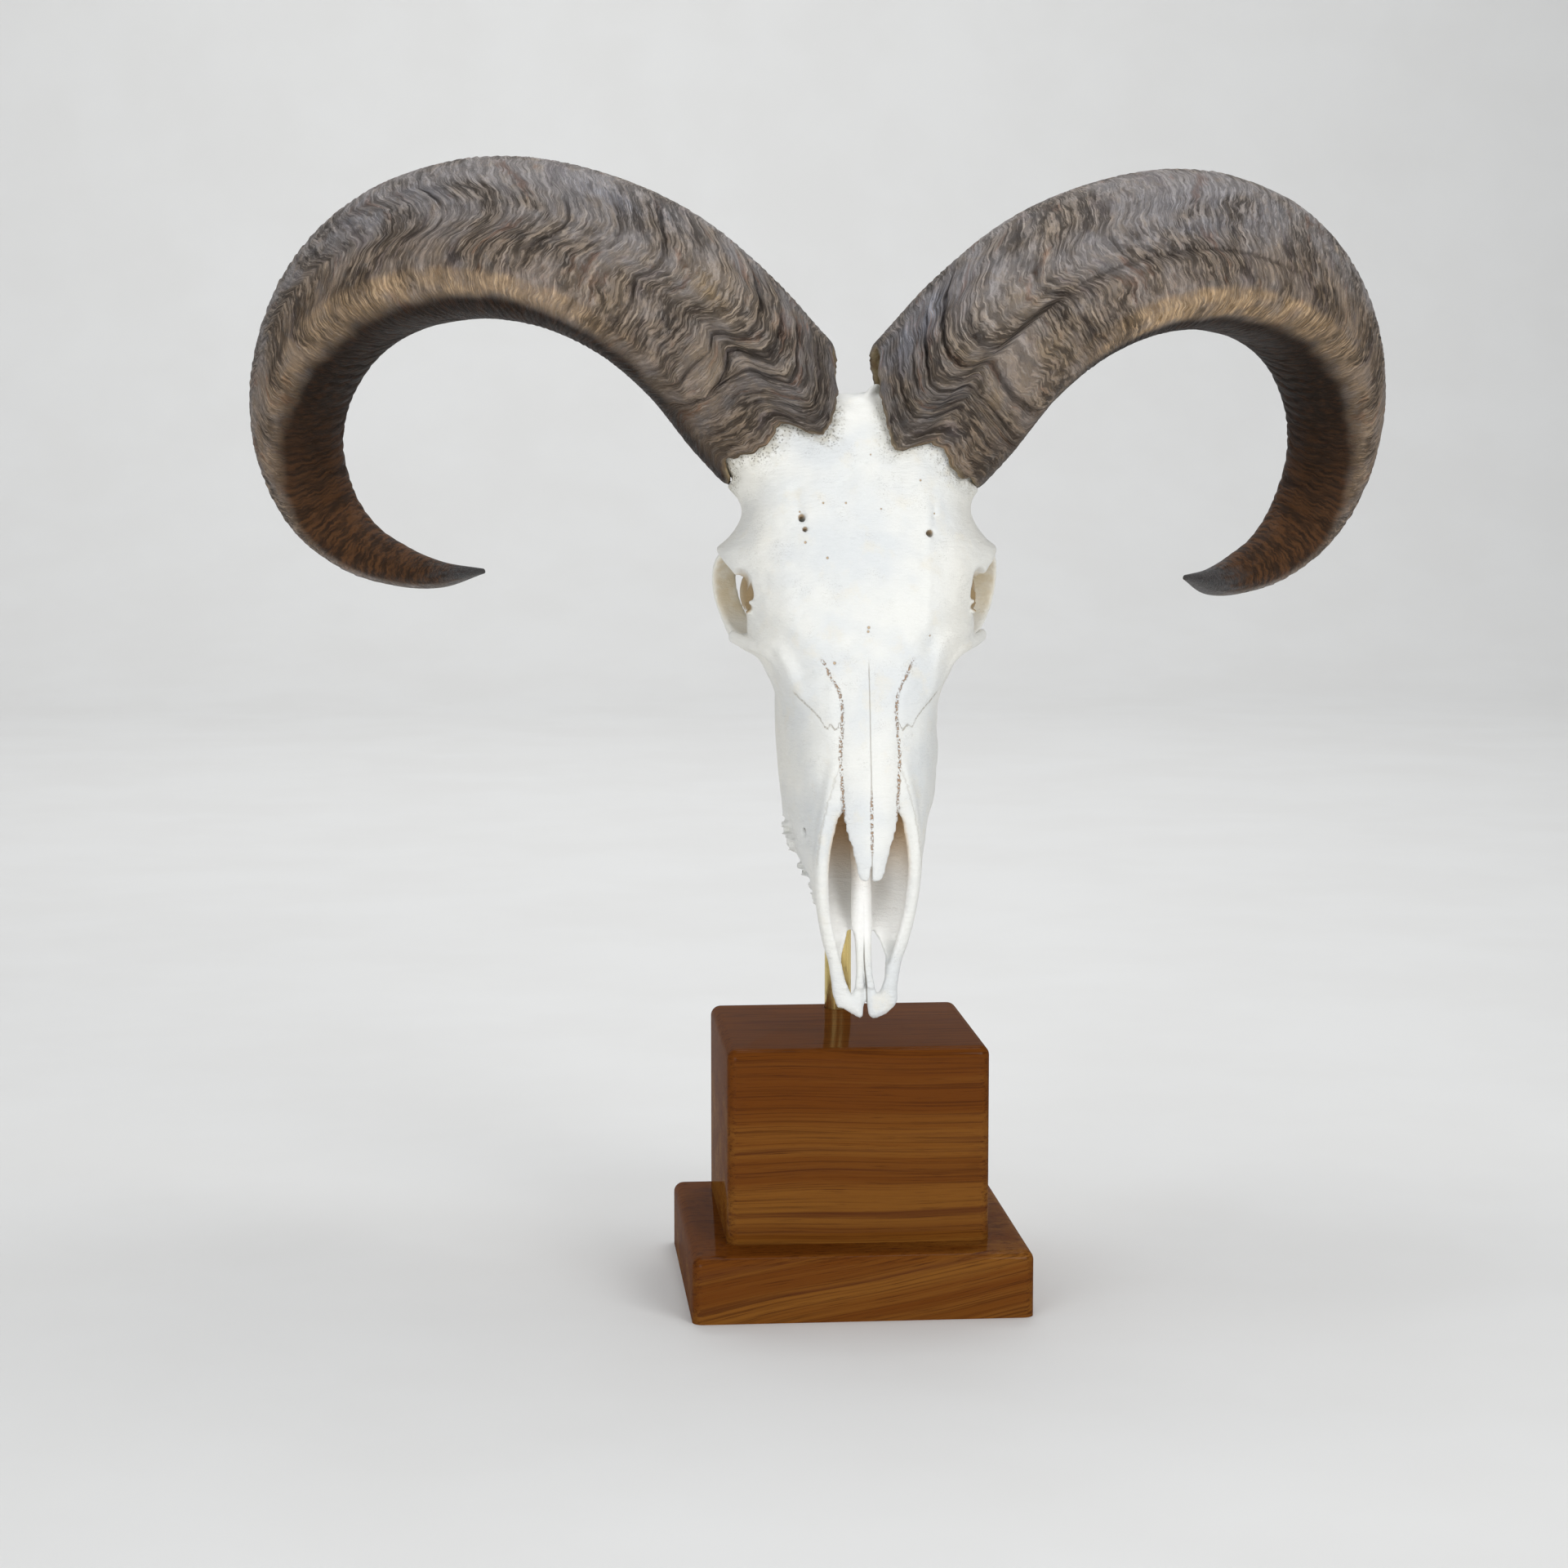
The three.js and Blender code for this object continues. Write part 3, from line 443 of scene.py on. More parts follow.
# The horns: a point is given by its distance up the axis and its angle round the section
class HornForm:
    def __init__(self, side):
        self.side = side
        line = curve_through(HORN_AXIS, 24)
        self.centre, self.width = line[:, :3], line[:, 3]
        gaps = np.linalg.norm(np.diff(self.centre, axis=0), axis=1)
        self.reach = np.concatenate([[0], np.cumsum(gaps)])
        self.length = self.reach[-1]
        along = np.gradient(self.centre, self.reach, axis=0)
        self.along = along / np.linalg.norm(along, axis=1, keepdims=True)
        lines = GROWTH_LINES[side]
        self.start = float(min(lines))
        self.line_at = np.array([0, *lines, self.length])
        first, last = lines[min(lines)], lines[max(lines)]
        self.line_lead = np.array([first, *lines.values(), [0.2 * lead for lead in last]], float)

    def section(self, angle):
        return 1 + 0.065 * np.cos(np.radians(3 * (angle - KEEL))) + 0.03 * bump(angle, KEEL, 14)

    def axes(self, distance):
        at = [np.interp(distance, self.reach, column) for column in (*self.centre.T, *self.along.T, self.width)]
        centre, along, width = np.stack(at[:3], -1), np.stack(at[3:6], -1), at[6]
        front = HORN_FRONT - (along @ HORN_FRONT)[..., None] * along
        front /= np.linalg.norm(front, axis=-1, keepdims=True)
        return centre, along, np.cross(front, along), front, width / 2

    def point(self, distance, angle, inside=0.0, swell=1.0):
        centre, along, outer, front, half = self.axes(distance)
        reach = np.maximum(half * self.section(angle) * swell - inside, 0.3)
        turn = np.radians(angle)
        across = outer * (reach * np.cos(turn))[..., None] + front * (reach * np.sin(turn))[..., None]
        return self.to_side(centre + across + along * np.minimum(0, distance)[..., None])

    def to_side(self, points):
        away = points - HORN_PIVOT
        cos, sin = math.cos(HORN_DROP[self.side]), math.sin(HORN_DROP[self.side])
        x = away[..., 0] * cos + away[..., 2] * sin + HORN_PIVOT[0]
        z = away[..., 2] * cos - away[..., 0] * sin + HORN_PIVOT[2]
        return np.stack([-x if self.side == "left" else x, points[..., 1], z], -1)

    def from_side(self, x, y, z):
        x = (-x if self.side == "left" else x) - HORN_PIVOT[0]
        z = z - HORN_PIVOT[2]
        cos, sin = math.cos(HORN_DROP[self.side]), math.sin(HORN_DROP[self.side])
        return x * cos - z * sin + HORN_PIVOT[0], y, x * sin + z * cos + HORN_PIVOT[2]

    def lead(self, grown, angle):
        """How far ahead the growth line at this distance runs at this angle."""
        turns = np.array([*LINE_ANGLES, LINE_ANGLES[0] + 360], float)
        wrapped = (angle - turns[0]) % 360 + turns[0]
        table = eased(self.line_at, self.line_lead, np.ravel(grown)).reshape(*np.shape(grown), -1)
        table = np.concatenate([table, table[..., :1]], -1)
        index = np.clip(np.searchsorted(turns, wrapped, side="right") - 1, 0, len(turns) - 2)
        share = (wrapped - turns[index]) / (turns[index + 1] - turns[index])
        share = share * share * (3 - 2 * share) * 0.5 + share * 0.5
        low = np.take_along_axis(table, index[..., None], -1)[..., 0]
        high = np.take_along_axis(table, index[..., None] + 1, -1)[..., 0]
        return low * (1 - share) + high * share

    def rim(self, angle):
        start = np.full(np.shape(angle), self.start)
        return start + self.lead(start, angle)


def groove_reach(first, last, angle):
    return step_between(first - 8, first + 8, angle) * (1 - step_between(last - 8, last + 8, angle))


def groove_tilt(grown, turn):
    return 1.2 * patchy(grown / 11, turn / 2.4, 15, 15)


def face_groove(distance):
    """Angle of the right horn's face groove, and how deep it is there, 0 to 1."""
    centre = np.interp(distance, *zip(*FACE_GROOVE))
    return centre, step_between(60, 85, distance) * (1 - step_between(215, 250, distance))


def horn_relief(side, grown, angle, distance):
    """Height of the sheath's folds and ripples in millimetres."""
    turn = (angle % 360) / 10
    drift = 3.4 * patchy(grown / 19, turn / 1.5, 11, 24) + 1.3 * patchy(grown / 6, turn, 12, 36)
    steps = np.arange(0.0, 620.0)
    counted = np.cumsum(1 / np.interp(steps, (0, 150, 260, 380, 520), (3.7, 3.9, 4.3, 5.2, 7)))
    phase = np.interp(grown + drift + 10, steps, counted) % 1
    falling = 1 - np.maximum((phase - 0.2) / 0.8, 0) ** 1.2
    fold = np.where(phase < 0.2, step_between(0, 0.2, phase), falling) - 0.45
    face = bump(angle, 42, 58)
    under = bump(angle, 175, 65)
    young = 1 - step_between(150, 330, grown)
    strength = np.clip(0.55 + 0.75 * patchy(grown / 21, turn / 3, 13, 12), 0.08, 1.3)
    folds = fold * strength * (1.25 * face * (0.4 + 0.6 * young) + 0.25)
    bands = np.abs(np.sin(np.pi * (distance + drift) / 9.4)) - 0.6
    folds += 0.9 * bands * under * step_between(250, 340, grown)
    fine = np.abs(np.sin(np.pi * (grown + 0.8 * drift) / 2.3)) - 0.6
    folds += 0.3 * fine * (face + 0.35) * np.clip(0.5 + 0.9 * patchy(grown / 9, turn / 2, 14, 18), 0, 1.4)
    folds += 0.22 * patchy(grown / 2.1, turn * 2, 16, 72) * (face + 0.3)
    tilted = grown + groove_tilt(grown, turn)
    for at, depth, half, first, last in DEEP_GROOVES[side]:
        gap = tilted - at
        half, depth = 0.8 * half, depth * (1.6 if at < 190 else 0.75)
        lip = np.exp(-(((gap - 2.2 * half) / (2 * half)) ** 2))
        folds += groove_reach(first, last, angle) * depth * (0.75 * lip - 1.1 * np.exp(-((gap / half) ** 2)))
    for at, centre, height, spread, width in HORN_SWELLS[side]:
        folds += height * np.exp(-(((distance - at) / spread) ** 2)) * bump(angle, centre, width)
    if side == "right":
        centre, reach = face_groove(distance)
        folds -= 1.5 * reach * bump(angle, centre, 2.1)
        folds += 0.8 * reach * (bump(angle, centre - 8, 5) + 0.6 * bump(angle, centre + 8, 5))
    calm = 1 - step_between(430, 520, distance)
    edge = step_between(-1, 6, grown - min(GROWTH_LINES[side]))
    return folds * calm * (0.35 + 0.65 * edge)


def groove_shade(side, grown, angle, distance):
    """How far a place lies in one of the deep grooves, 0 to 1, where shade is painted in."""
    tilted = grown + groove_tilt(grown, (angle % 360) / 10)
    shade = np.zeros(np.shape(grown))
    for at, depth, half, first, last in DEEP_GROOVES[side]:
        line = np.exp(-(((tilted - at) / (0.5 * half)) ** 2))
        shade = np.maximum(shade, groove_reach(first, last, angle) * min(depth, 1) * line)
    if side == "right":
        centre, reach = face_groove(distance)
        shade = np.maximum(shade, 0.75 * reach * bump(angle, centre, 1.7))
    return shade


def inside_volume(points, quads):
    """Six times the volume that the quads close in, less than nothing where they point inwards."""
    a, b, c, d = (points[quads[:, i]] for i in range(4))
    return (np.cross(a, b) * c).sum() + (np.cross(a, c) * d).sum()


def closed_tube(rings):
    """Points, quads and end triangles of a tube of rings, closed at both ends and facing outwards."""
    rows, columns = rings.shape[:2]
    index = np.arange(rows * columns).reshape(rows, columns)
    turned = np.roll(index, -1, 1)
    quads = np.stack([index[:-1], turned[:-1], turned[1:], index[1:]], -1).reshape(-1, 4)
    points = np.concatenate([rings.reshape(-1, 3), [rings[-1].mean(0), rings[0].mean(0)]])
    last, first = rows * columns, rows * columns + 1
    caps = [(index[-1, c], turned[-1, c], last) for c in range(columns)]
    caps += [(turned[0, c], index[0, c], first) for c in range(columns)]
    if inside_volume(points, quads) < 0:
        quads, caps = quads[:, ::-1], [cap[::-1] for cap in caps]
    return points, quads, caps


def hollow_taper(form, distance):
    """How the sheath's hollow, and the core in it, narrow up the horn."""
    return 1 - 0.5 * np.clip((distance - form.start) / HOLLOW_LENGTH, 0, 1) ** 2


def horn_mesh(side, rows, columns):
    """One sheath, hollow at the base and closed at the tip, and its growth data for each point."""
    form = HornForm(side)
    start = form.start
    share = np.linspace(0, 1, rows)
    grown = start + (form.length - start) * (0.8 * share + 0.2 * share**2)
    angle = np.arange(columns) * 360 / columns - 60
    grown, angle = np.meshgrid(grown, angle, indexing="ij")
    distance = np.minimum(grown + form.lead(grown, angle), form.length)
    level = np.zeros_like(angle)
    ragged = 0.7 * patchy(angle / 4, level, 21) + 0.4 * patchy(angle / 1.6, level, 22)
    distance += ragged * (1 - step_between(0, 8, grown - start))
    relief = horn_relief(side, grown, angle, distance)
    lip = 1.1 * np.exp(-(((grown - start) / 1.5) ** 2))
    shells = [form.point(distance, angle, lip - relief)]
    rim_at, rim_angle = distance[0], angle[0]
    hollow_end = start + HOLLOW_LENGTH
    for step in (0, 0.02, 0.08, 0.2, 0.4, 0.65, 0.85, 1):
        at = rim_at + (hollow_end - rim_at) * step + (0.4 if step == 0 else 0)
        wall = WALL - 1.2 * math.exp(-((step / 0.05) ** 2))
        shells.insert(0, form.point(at, rim_angle, np.full(columns, wall), hollow_taper(form, at))[None])
    inner = len(shells) - 1
    columns_of = {
        "grown": (np.full(columns, start), grown),
        "angle": (rim_angle, angle),
        "distance": (rim_at, distance),
        "relief": (np.zeros(columns), relief),
        "hidden": (np.ones(columns), np.zeros_like(grown)),
    }
    data = {}
    for name, (within, outside) in columns_of.items():
        values = np.concatenate([np.repeat(within[None], inner, 0), outside])
        data[name] = np.concatenate([values.reshape(-1), [values[-1].mean(), values[0].mean()]])
    return closed_tube(np.concatenate(shells)), data


# The skull: a field of distances from its surface on a grid, which is then skinned
class Field:
    def __init__(self, low, high, step):
        self.step, self.low = step, np.array(low, float)
        counts = np.ceil((np.array(high) - self.low) / step).astype(int) + 1
        self.lines = [self.low[i] + step * np.arange(counts[i]) for i in range(3)]
        self.gap = np.full(counts, 50.0, np.float32)
        self.cavity, self.socket, self.seat = (np.full(counts, 50.0, np.float32) for _ in range(3))

    def region(self, low, high, pad=6):
        """The part of the grid near a box, with its coordinates."""
        parts = []
        for line, a, b in zip(self.lines, low, high):
            first, last = np.searchsorted(line, (a - pad, b + pad))
            parts.append(slice(max(first, 0), min(last + 1, len(line))))
        x, y, z = (line[part] for line, part in zip(self.lines, parts))
        return tuple(parts), x[:, None, None], y[None, :, None], z[None, None, :]

    def sampled(self, values, points):
        """Values of a grid array at points, straight between the grid's own."""
        spot = np.clip((points - self.low) / self.step, 0, np.array(values.shape) - 1.001)
        cell = spot.astype(int)
        share = spot - cell
        total = np.zeros(len(points))
        for corner in ((i, j, k) for i in (0, 1) for j in (0, 1) for k in (0, 1)):
            weight = np.prod(np.where(corner, share, 1 - share), axis=1)
            total += weight * values[tuple((cell + corner).T)]
        return total

    def add(self, part, gap, soft):
        self.gap[part] = blend_min(self.gap[part], gap, soft)

    def cut(self, part, gap, soft):
        self.gap[part] = blend_max(self.gap[part], -gap, soft)

    def ball(self, centre, radii, soft, cut=False):
        for side in (1, -1):
            middle = np.array(centre, float) * (side, 1, 1)
            part, x, y, z = self.region(middle - radii, middle + radii)
            gap = oval_gap((x - middle[0], y - middle[1], z - middle[2]), radii)
            (self.cut if cut else self.add)(part, gap, soft)
            if centre[0] == 0:
                break

    def bone(self, line, soft, sides=(1, -1), cut=False):
        """A slender bone of oval section along points with half width and half depth."""
        samples = curve_through(line, 5)
        for side in sides:
            path = samples * (side, 1, 1, 1, 1)
            girth = samples[:, 3:].max()
            part, x, y, z = self.region(path[:, :3].min(0) - girth, path[:, :3].max(0) + girth)
            x, y, z = np.broadcast_arrays(x, y, z)
            best = np.full(x.shape, 1e9)
            gap = np.full(x.shape, 50.0)
            for start, end in zip(path, path[1:]):
                run = end[:3] - start[:3]
                length = np.linalg.norm(run)
                t = ((x - start[0]) * run[0] + (y - start[1]) * run[1] + (z - start[2]) * run[2]) / length**2
                t = np.clip(t, 0, 1)
                off = [axis - start[i] - t * run[i] for i, axis in enumerate((x, y, z))]
                away = off[0] ** 2 + off[1] ** 2 + off[2] ** 2
                along = run / length
                across = np.array((1.0, 0, 0)) - along[0] * along
                across /= np.linalg.norm(across)
                deep = np.cross(along, across)
                wide, thick = start[3] + t * (end[3] - start[3]), start[4] + t * (end[4] - start[4])
                u, v, w = (off[0] * a[0] + off[1] * a[1] + off[2] * a[2] for a in (across, deep, along))
                here = oval_gap((u, v, w), (wide, thick, np.minimum(wide, thick)))
                near = away < best
                gap = np.where(near, here, gap)
                best = np.where(near, away, best)
            (self.cut if cut else self.add)(part, gap, soft)

    def sliced(self, slices, centre_back):
        """Distance from a body given by half rings; centre_back puts its middle line on each layer."""
        heights = np.array(list(slices), float)
        rings = np.array(list(slices.values()), float)
        x, y, z = self.lines
        layers = eased(heights, rings, z)
        gap = np.empty(self.gap.shape, np.float32)
        wide, deep = np.abs(x)[:, None], y[None, :]
        for index, ring in enumerate(layers):
            middle = ring[0, 1] * (1 - centre_back) + ring[-1, 1] * centre_back
            inner = ring[1:-1]
            whole = np.concatenate([ring, inner[::-1] * (-1, 1)])
            smooth = ring_through(whole, 8)
            smooth = smooth[smooth[:, 0] > -1e-3]
            turn = np.arctan2(np.maximum(smooth[:, 0], 0), middle - smooth[:, 1])
            order = np.argsort(turn)
            reach = np.hypot(smooth[:, 0], smooth[:, 1] - middle)[order]
            here = np.arctan2(wide, middle - deep)
            gap[:, :, index] = np.hypot(wide, deep - middle) - np.interp(here, turn[order], reach)
        steep = np.sqrt(sum(g**2 for g in np.gradient(gap, self.step)))
        gap = gap / np.clip(steep, 0.6, 4)
        gap = np.maximum(gap, heights[0] - z)
        return blend_max(gap, np.broadcast_to(z - heights[-1], gap.shape), 2)

    def skin(self):
        """Quads round the surface, one point for each cell that it crosses."""
        gap = self.gap
        for face in (0, -1):
            gap[face], gap[:, face], gap[:, :, face] = 1, 1, 1
        solid = gap < 0
        cells = np.zeros(np.array(gap.shape) - 1, np.uint8)
        corners = [(i, j, k) for i in (0, 1) for j in (0, 1) for k in (0, 1)]

        def cut(array, corner):
            return array[tuple(slice(c, array.shape[n] - 1 + c) for n, c in enumerate(corner))]

        for corner in corners:
            cells += cut(solid, corner)
        crossed = np.argwhere((cells > 0) & (cells < 8))
        numbers = np.full(cells.shape, -1, np.int64)
        numbers[tuple(crossed.T)] = np.arange(len(crossed))
        total, count = np.zeros((len(crossed), 3)), np.zeros(len(crossed))
        for first in corners:
            for axis in range(3):
                if first[axis]:
                    continue
                second = tuple(c + (n == axis) for n, c in enumerate(first))
                a = gap[tuple((crossed + first).T)]
                b = gap[tuple((crossed + second).T)]
                crosses = (a < 0) != (b < 0)
                t = np.where(crosses, a / np.where(crosses, a - b, 1), 0)
                place = np.tile(np.array(first, float), (len(crossed), 1))
                place[:, axis] += t
                total += np.where(crosses[:, None], place, 0)
                count += crosses
        points = self.low + (crossed + total / count[:, None]) * self.step
        faces = []
        for axis in range(3):
            second, third = (axis + 1) % 3, (axis + 2) % 3
            low = [slice(None)] * 3
            high = [slice(None)] * 3
            low[axis], high[axis] = slice(None, -1), slice(1, None)
            a, b = solid[tuple(low)], solid[tuple(high)]
            for sign in (True, False):
                edges = np.argwhere((a != b) & (a == sign))
                edges = edges[(edges[:, second] > 0) & (edges[:, third] > 0)]
                edges = edges[(edges[:, second] < cells.shape[second]) & (edges[:, third] < cells.shape[third])]
                around = []
                for back_second, back_third in ((1, 1), (0, 1), (0, 0), (1, 0)):
                    cell = edges.copy()
                    cell[:, second] -= back_second
                    cell[:, third] -= back_third
                    around.append(numbers[tuple(cell.T)])
                quad = np.stack(around, -1)
                faces.append(quad if sign else quad[:, ::-1])
        return points, np.concatenate(faces)


def relax(points, quads, rounds):
    """Evens a skin out without shrinking it."""
    pairs = np.concatenate([quads[:, [0, 1]], quads[:, [1, 2]], quads[:, [2, 3]], quads[:, [3, 0]]])
    pairs = np.concatenate([pairs, pairs[:, ::-1]])
    count = np.bincount(pairs[:, 0], minlength=len(points))[:, None]
    for share in (0.6, -0.62) * rounds:
        sums = [np.bincount(pairs[:, 0], points[pairs[:, 1], i], len(points)) for i in range(3)]
        points = points + share * (np.stack(sums, -1) / count - points)
    return points


def sideways(points):
    """How far the snout's tip and the tooth rows stand over to the left."""
    y, z = points[:, 1], points[:, 2]
    return step_between(95, 10, z) + 3.2 * step_between(-26, -6, y) * np.exp(-(((z - 79) / 13) ** 2))


def orbit_axes(side):
    centre = np.array(ORBIT["centre"], float)
    outward = np.array(ORBIT["outward"], float)
    outward /= np.linalg.norm(outward)
    back = np.array((0.0, 1, 0)) - outward[1] * outward
    back /= np.linalg.norm(back)
    up = np.cross(outward, back)
    flip = np.array((side, 1, 1))
    return centre * flip + ORBIT_SHIFT, back * flip, up * flip, outward * flip


def orbit_offsets(side, x, y, z):
    centre, *axes = orbit_axes(side)
    away = (x - centre[0], y - centre[1], z - centre[2])
    return [away[0] * a[0] + away[1] * a[1] + away[2] * a[2] for a in axes]


def horn_offsets(form, x, y, z):
    """Distance up the horn, angle round it and distance off its axis, for points near its base."""
    x, y, z = form.from_side(*np.broadcast_arrays(x, y, z))
    points = np.stack([x, y, z], -1).reshape(-1, 3)
    keep = np.arange(0, np.searchsorted(form.reach, 110), 4)
    best, nearest = np.full(len(points), 1e9), np.zeros(len(points), int)
    for sample in keep:
        away = ((points - form.centre[sample]) ** 2).sum(1)
        closer = away < best
        best, nearest = np.where(closer, away, best), np.where(closer, sample, nearest)
    along = form.along[nearest]
    distance = form.reach[nearest] + ((points - form.centre[nearest]) * along).sum(1)
    centre, along, outer, front, half = form.axes(distance)
    away = points - centre
    u, v = (away * outer).sum(1), (away * front).sum(1)
    shape = x.shape
    angle = np.degrees(np.arctan2(v, u))
    return distance.reshape(shape), angle.reshape(shape), np.hypot(u, v).reshape(shape), half.reshape(shape)


def near_orbit(field, side, reach):
    """The grid near a socket: its part, its coordinates and its offsets back, up and outwards."""
    centre = orbit_axes(side)[0]
    part, *place = field.region(centre - reach, centre + reach)
    return part, place, orbit_offsets(side, *place)


def column_gap(x, z, outline):
    """Distance from an outline drawn in x and height, the same at every depth."""
    return outline_gap(x[:, 0] + 0 * z[:, 0], z[:, 0] + 0 * x[:, 0], outline)[:, None, :]


def skull_field(step):
    """The bone as distances on a grid, from broad forms to fine ones."""
    field = Field((-71, -57, -3), (71, 121, 314), step)
    x, y, z = field.lines
    field.gap = field.sliced(SKULL_SLICES, 0.45)
    x, y, z = x[:, None, None], y[None, :, None], z[None, None, :]
    face_relief(field, x, y, z)
    field.bone(PREMAXILLA_ARM, 3.6)
    for side in (1, -1):
        part, _, (back, up, out) = near_orbit(field, side, 24)
        offsets = (np.hypot(back, up) - ORBIT["radius"], out + ORBIT_SET_IN)
        field.add(part, oval_gap(offsets, (ORBIT["rim"], ORBIT["depth"])), 3)
    field.bone(ZYGOMATIC_ARCH, 3)
    field.bone(JAW_EDGE, 4)
    field.bone(CHEEK_HOLLOW, 3, cut=True)
    field.bone(CHEEK_CREST, 2.2)
    field.bone(PAROCCIPITAL, 3)
    field.bone(PTERYGOID, 2)
    field.ball((13, 107, 223), (10, 10, 12), 3)
    field.ball((20, 88, 200), (8, 9, 9), 3)
    field.ball((0, 86, 268), (25, 8, 6), 6)
    field.cavity = field.sliced(CAVITY_SLICES, 0.6)
    field.gap = blend_max(field.gap, -field.cavity, 1.2)
    for side in (1, -1):
        part, _, (back, up, out) = near_orbit(field, side, 30)
        socket = oval_gap((back, up, out + ORBIT_SET_IN), (SOCKET[0], SOCKET[0], SOCKET[1]))
        field.cut(part, socket, 1.5)
        field.socket[part] = np.minimum(field.socket[part], socket)
    for centre, radii, grows in SOCKET_DETAIL:
        field.ball(centre, radii, 0.8, cut=not grows)
    field.ball((0, 116, 236), (10, 16, 10), 2, cut=True)
    field.ball((7, 44, 172), (5.5, 14, 14), 2, cut=True)
    for start, end, radius in FORAMINA:
        ends = [np.array(start, float), np.array(end, float)]
        field.bone([(*place, radius, radius) for place in ends], 0.7, sides=(1,), cut=True)
    snout(field)
    horn_seats(field)
    ragged_edges(field)
    return field


def ragged_edges(field):
    """Chips along the sockets' front edges and the jaw's left edge."""
    for side in (1, -1):
        part, (x, y, z), (back, up, out) = near_orbit(field, side, 24)
        near = np.exp(-(((np.hypot(back, up) - 19.5) / 3.5) ** 2) - ((out + 3) / 6) ** 2)
        chips = patchy(z / 1.9 + 9, (x + y) / 2.6 + 60, 43) + 0.6 * patchy(z / 4.1 + 30, (x - y) / 5 + 60, 44)
        field.gap[part] += (0.85 * near * step_between(0, -12, back) * chips).astype(np.float32)
    part, x, y, z = field.region((-46, -30, 56), (-14, 40, 110))
    near = np.exp(-(((y - 2 - 0.42 * (z - 84)) / 9) ** 2)) * step_between(-16, -24, x) * step_between(94, 84, z)
    spikes = np.maximum(1 - 4 * np.abs(patchy(z / 2.7 + 10 + 0.02 * y, y / 9 + 60, 45)), -0.6)
    field.gap[part] -= (2.4 * near * (spikes - 0.45)).astype(np.float32)


def face_relief(field, x, y, z):
    """Soft hollows and ridges of the face, as shifts of its front surface."""
    front = 1 - step_between(8, 30, y + 0 * x + 0 * z)
    plane_x, plane_z = (x + 0 * z)[:, 0, :], (z + 0 * x)[:, 0, :]
    shift = np.zeros(plane_x.shape)
    for line, depth, width in FACE_RELIEF:
        away, _ = line_gap(plane_x, plane_z, line)
        shift += depth * np.exp(-((away / width) ** 2))
    shift += 0.42 * patchy(plane_x / 9 + 40, plane_z / 11, 41)
    shift += 0.17 * patchy(plane_x / 3 + 80, plane_z / 3.4, 42)
    field.gap += (shift[:, None, :] * front).astype(np.float32)


def snout(field):
    """The snout's end plate, the middle process and the free ends of the nasal bones."""
    field.bone(PALATINE_PROCESS, 1.5, sides=(1,))
    part, x, y, z = field.region((-16, -31, -1), (16, -25, 25), 3)
    for outline in SNOUT_PLATES:
        plate = column_gap(x, z, outline)
        middle = -28.2 + 0.06 * (z - 12)
        thick = (2.4 - 1.2 * step_between(-3, 0, plate)) * (1 - 0.85 * step_between(14, 25, z))
        field.add(part, blend_max(plate, np.abs(y - middle) - thick, 1.2), 1.0)
    part, x, y, z = field.region((-18, -30, 12), (18, -2, 58), 3)
    sheet = column_gap(x, z, PALATE_SHEET)
    middle = -24 + 0.4 * (z - 30) + 0.024 * np.maximum(z - 36, 0) ** 2
    field.add(part, blend_max(sheet, np.abs(y - middle) - 1.7, 1.5), 1.5)
    for outline in FISSURES:
        part, x, y, z = field.region((-14, -45, 8), (14, 0, 42), 2)
        hole = column_gap(x, z, outline)
        field.cut(part, np.maximum(hole, y + 8), 0.8)
    part, x, y, z = field.region((-14, -53, 65), (14, -38, 113), 3)
    heights, halves, ridges = (np.array(column, float) for column in zip(*NASAL_ENDS))
    half = np.interp(z, heights, halves)
    ridge = np.interp(z, heights, ridges)
    middle = ridge + 1.6 + 3.2 * (x / 13) ** 2
    gap = oval_gap((x + 0 * y, y - middle), (half, 1.6 + 0 * half))
    gap = blend_max(gap, np.broadcast_to(heights[0] - z, gap.shape), 1.5)
    field.add(part, gap, 0.8)
    part, x, y, z = field.region((-1, -56, 60), (1, -44, 76), 2)
    notch = np.abs(x + 0.3) - 0.5 - 0.5 * step_between(70, 65, z)
    field.cut(part, np.maximum(notch, z - 73), 0.3)
    part, x, y, z = field.region((-3, -40, -2), (3, -20, 56), 2)
    middle = 0.6 - 1.2 * step_between(8, 30, z)
    depth = np.where(z < 8, -20, -29.3 + 0.06 * z)
    field.cut(part, np.maximum(np.abs(x - middle) - 0.55, y - depth), 0.5)


def horn_seats(field):
    """Takes the skull back under each sheath and puts the base of the bone core in it."""
    for side in ("left", "right"):
        form = HornForm(side)
        low, high = ((0, -14, 214), (71, 90, 314)) if side == "right" else ((-71, -14, 214), (0, 90, 314))
        part, x, y, z = field.region(low, high, 8)
        distance, angle, off, half = horn_offsets(form, x, y, z)
        outside = half * form.section(angle)
        rim = form.rim(angle)
        seat = np.maximum(off - outside - GAP, rim - distance - GAP)
        field.cut(part, seat, 0.8)
        field.seat[part] = np.minimum(field.seat[part], seat)
        slack = SLACK * bump(angle, -35, 55) * step_between(0, 25, distance)
        core = off - (outside - WALL - GAP - slack)
        core = np.maximum(core, -14 - distance)
        field.add(part, core, 1.0)
    part, x, y, z = field.region((-24, -20, 280), (24, 100, 320))
    top = 285.6 + 1.2 * bump(x, 8.5, 3) + 0.5 * patchy(x / 2.5 + 20, y / 4 + 60, 46)
    field.cut(part, np.maximum(np.abs(x) - 20, top - z), 1.5)
    field.bone(CROWN_KNOB, 1.5, sides=(1,))


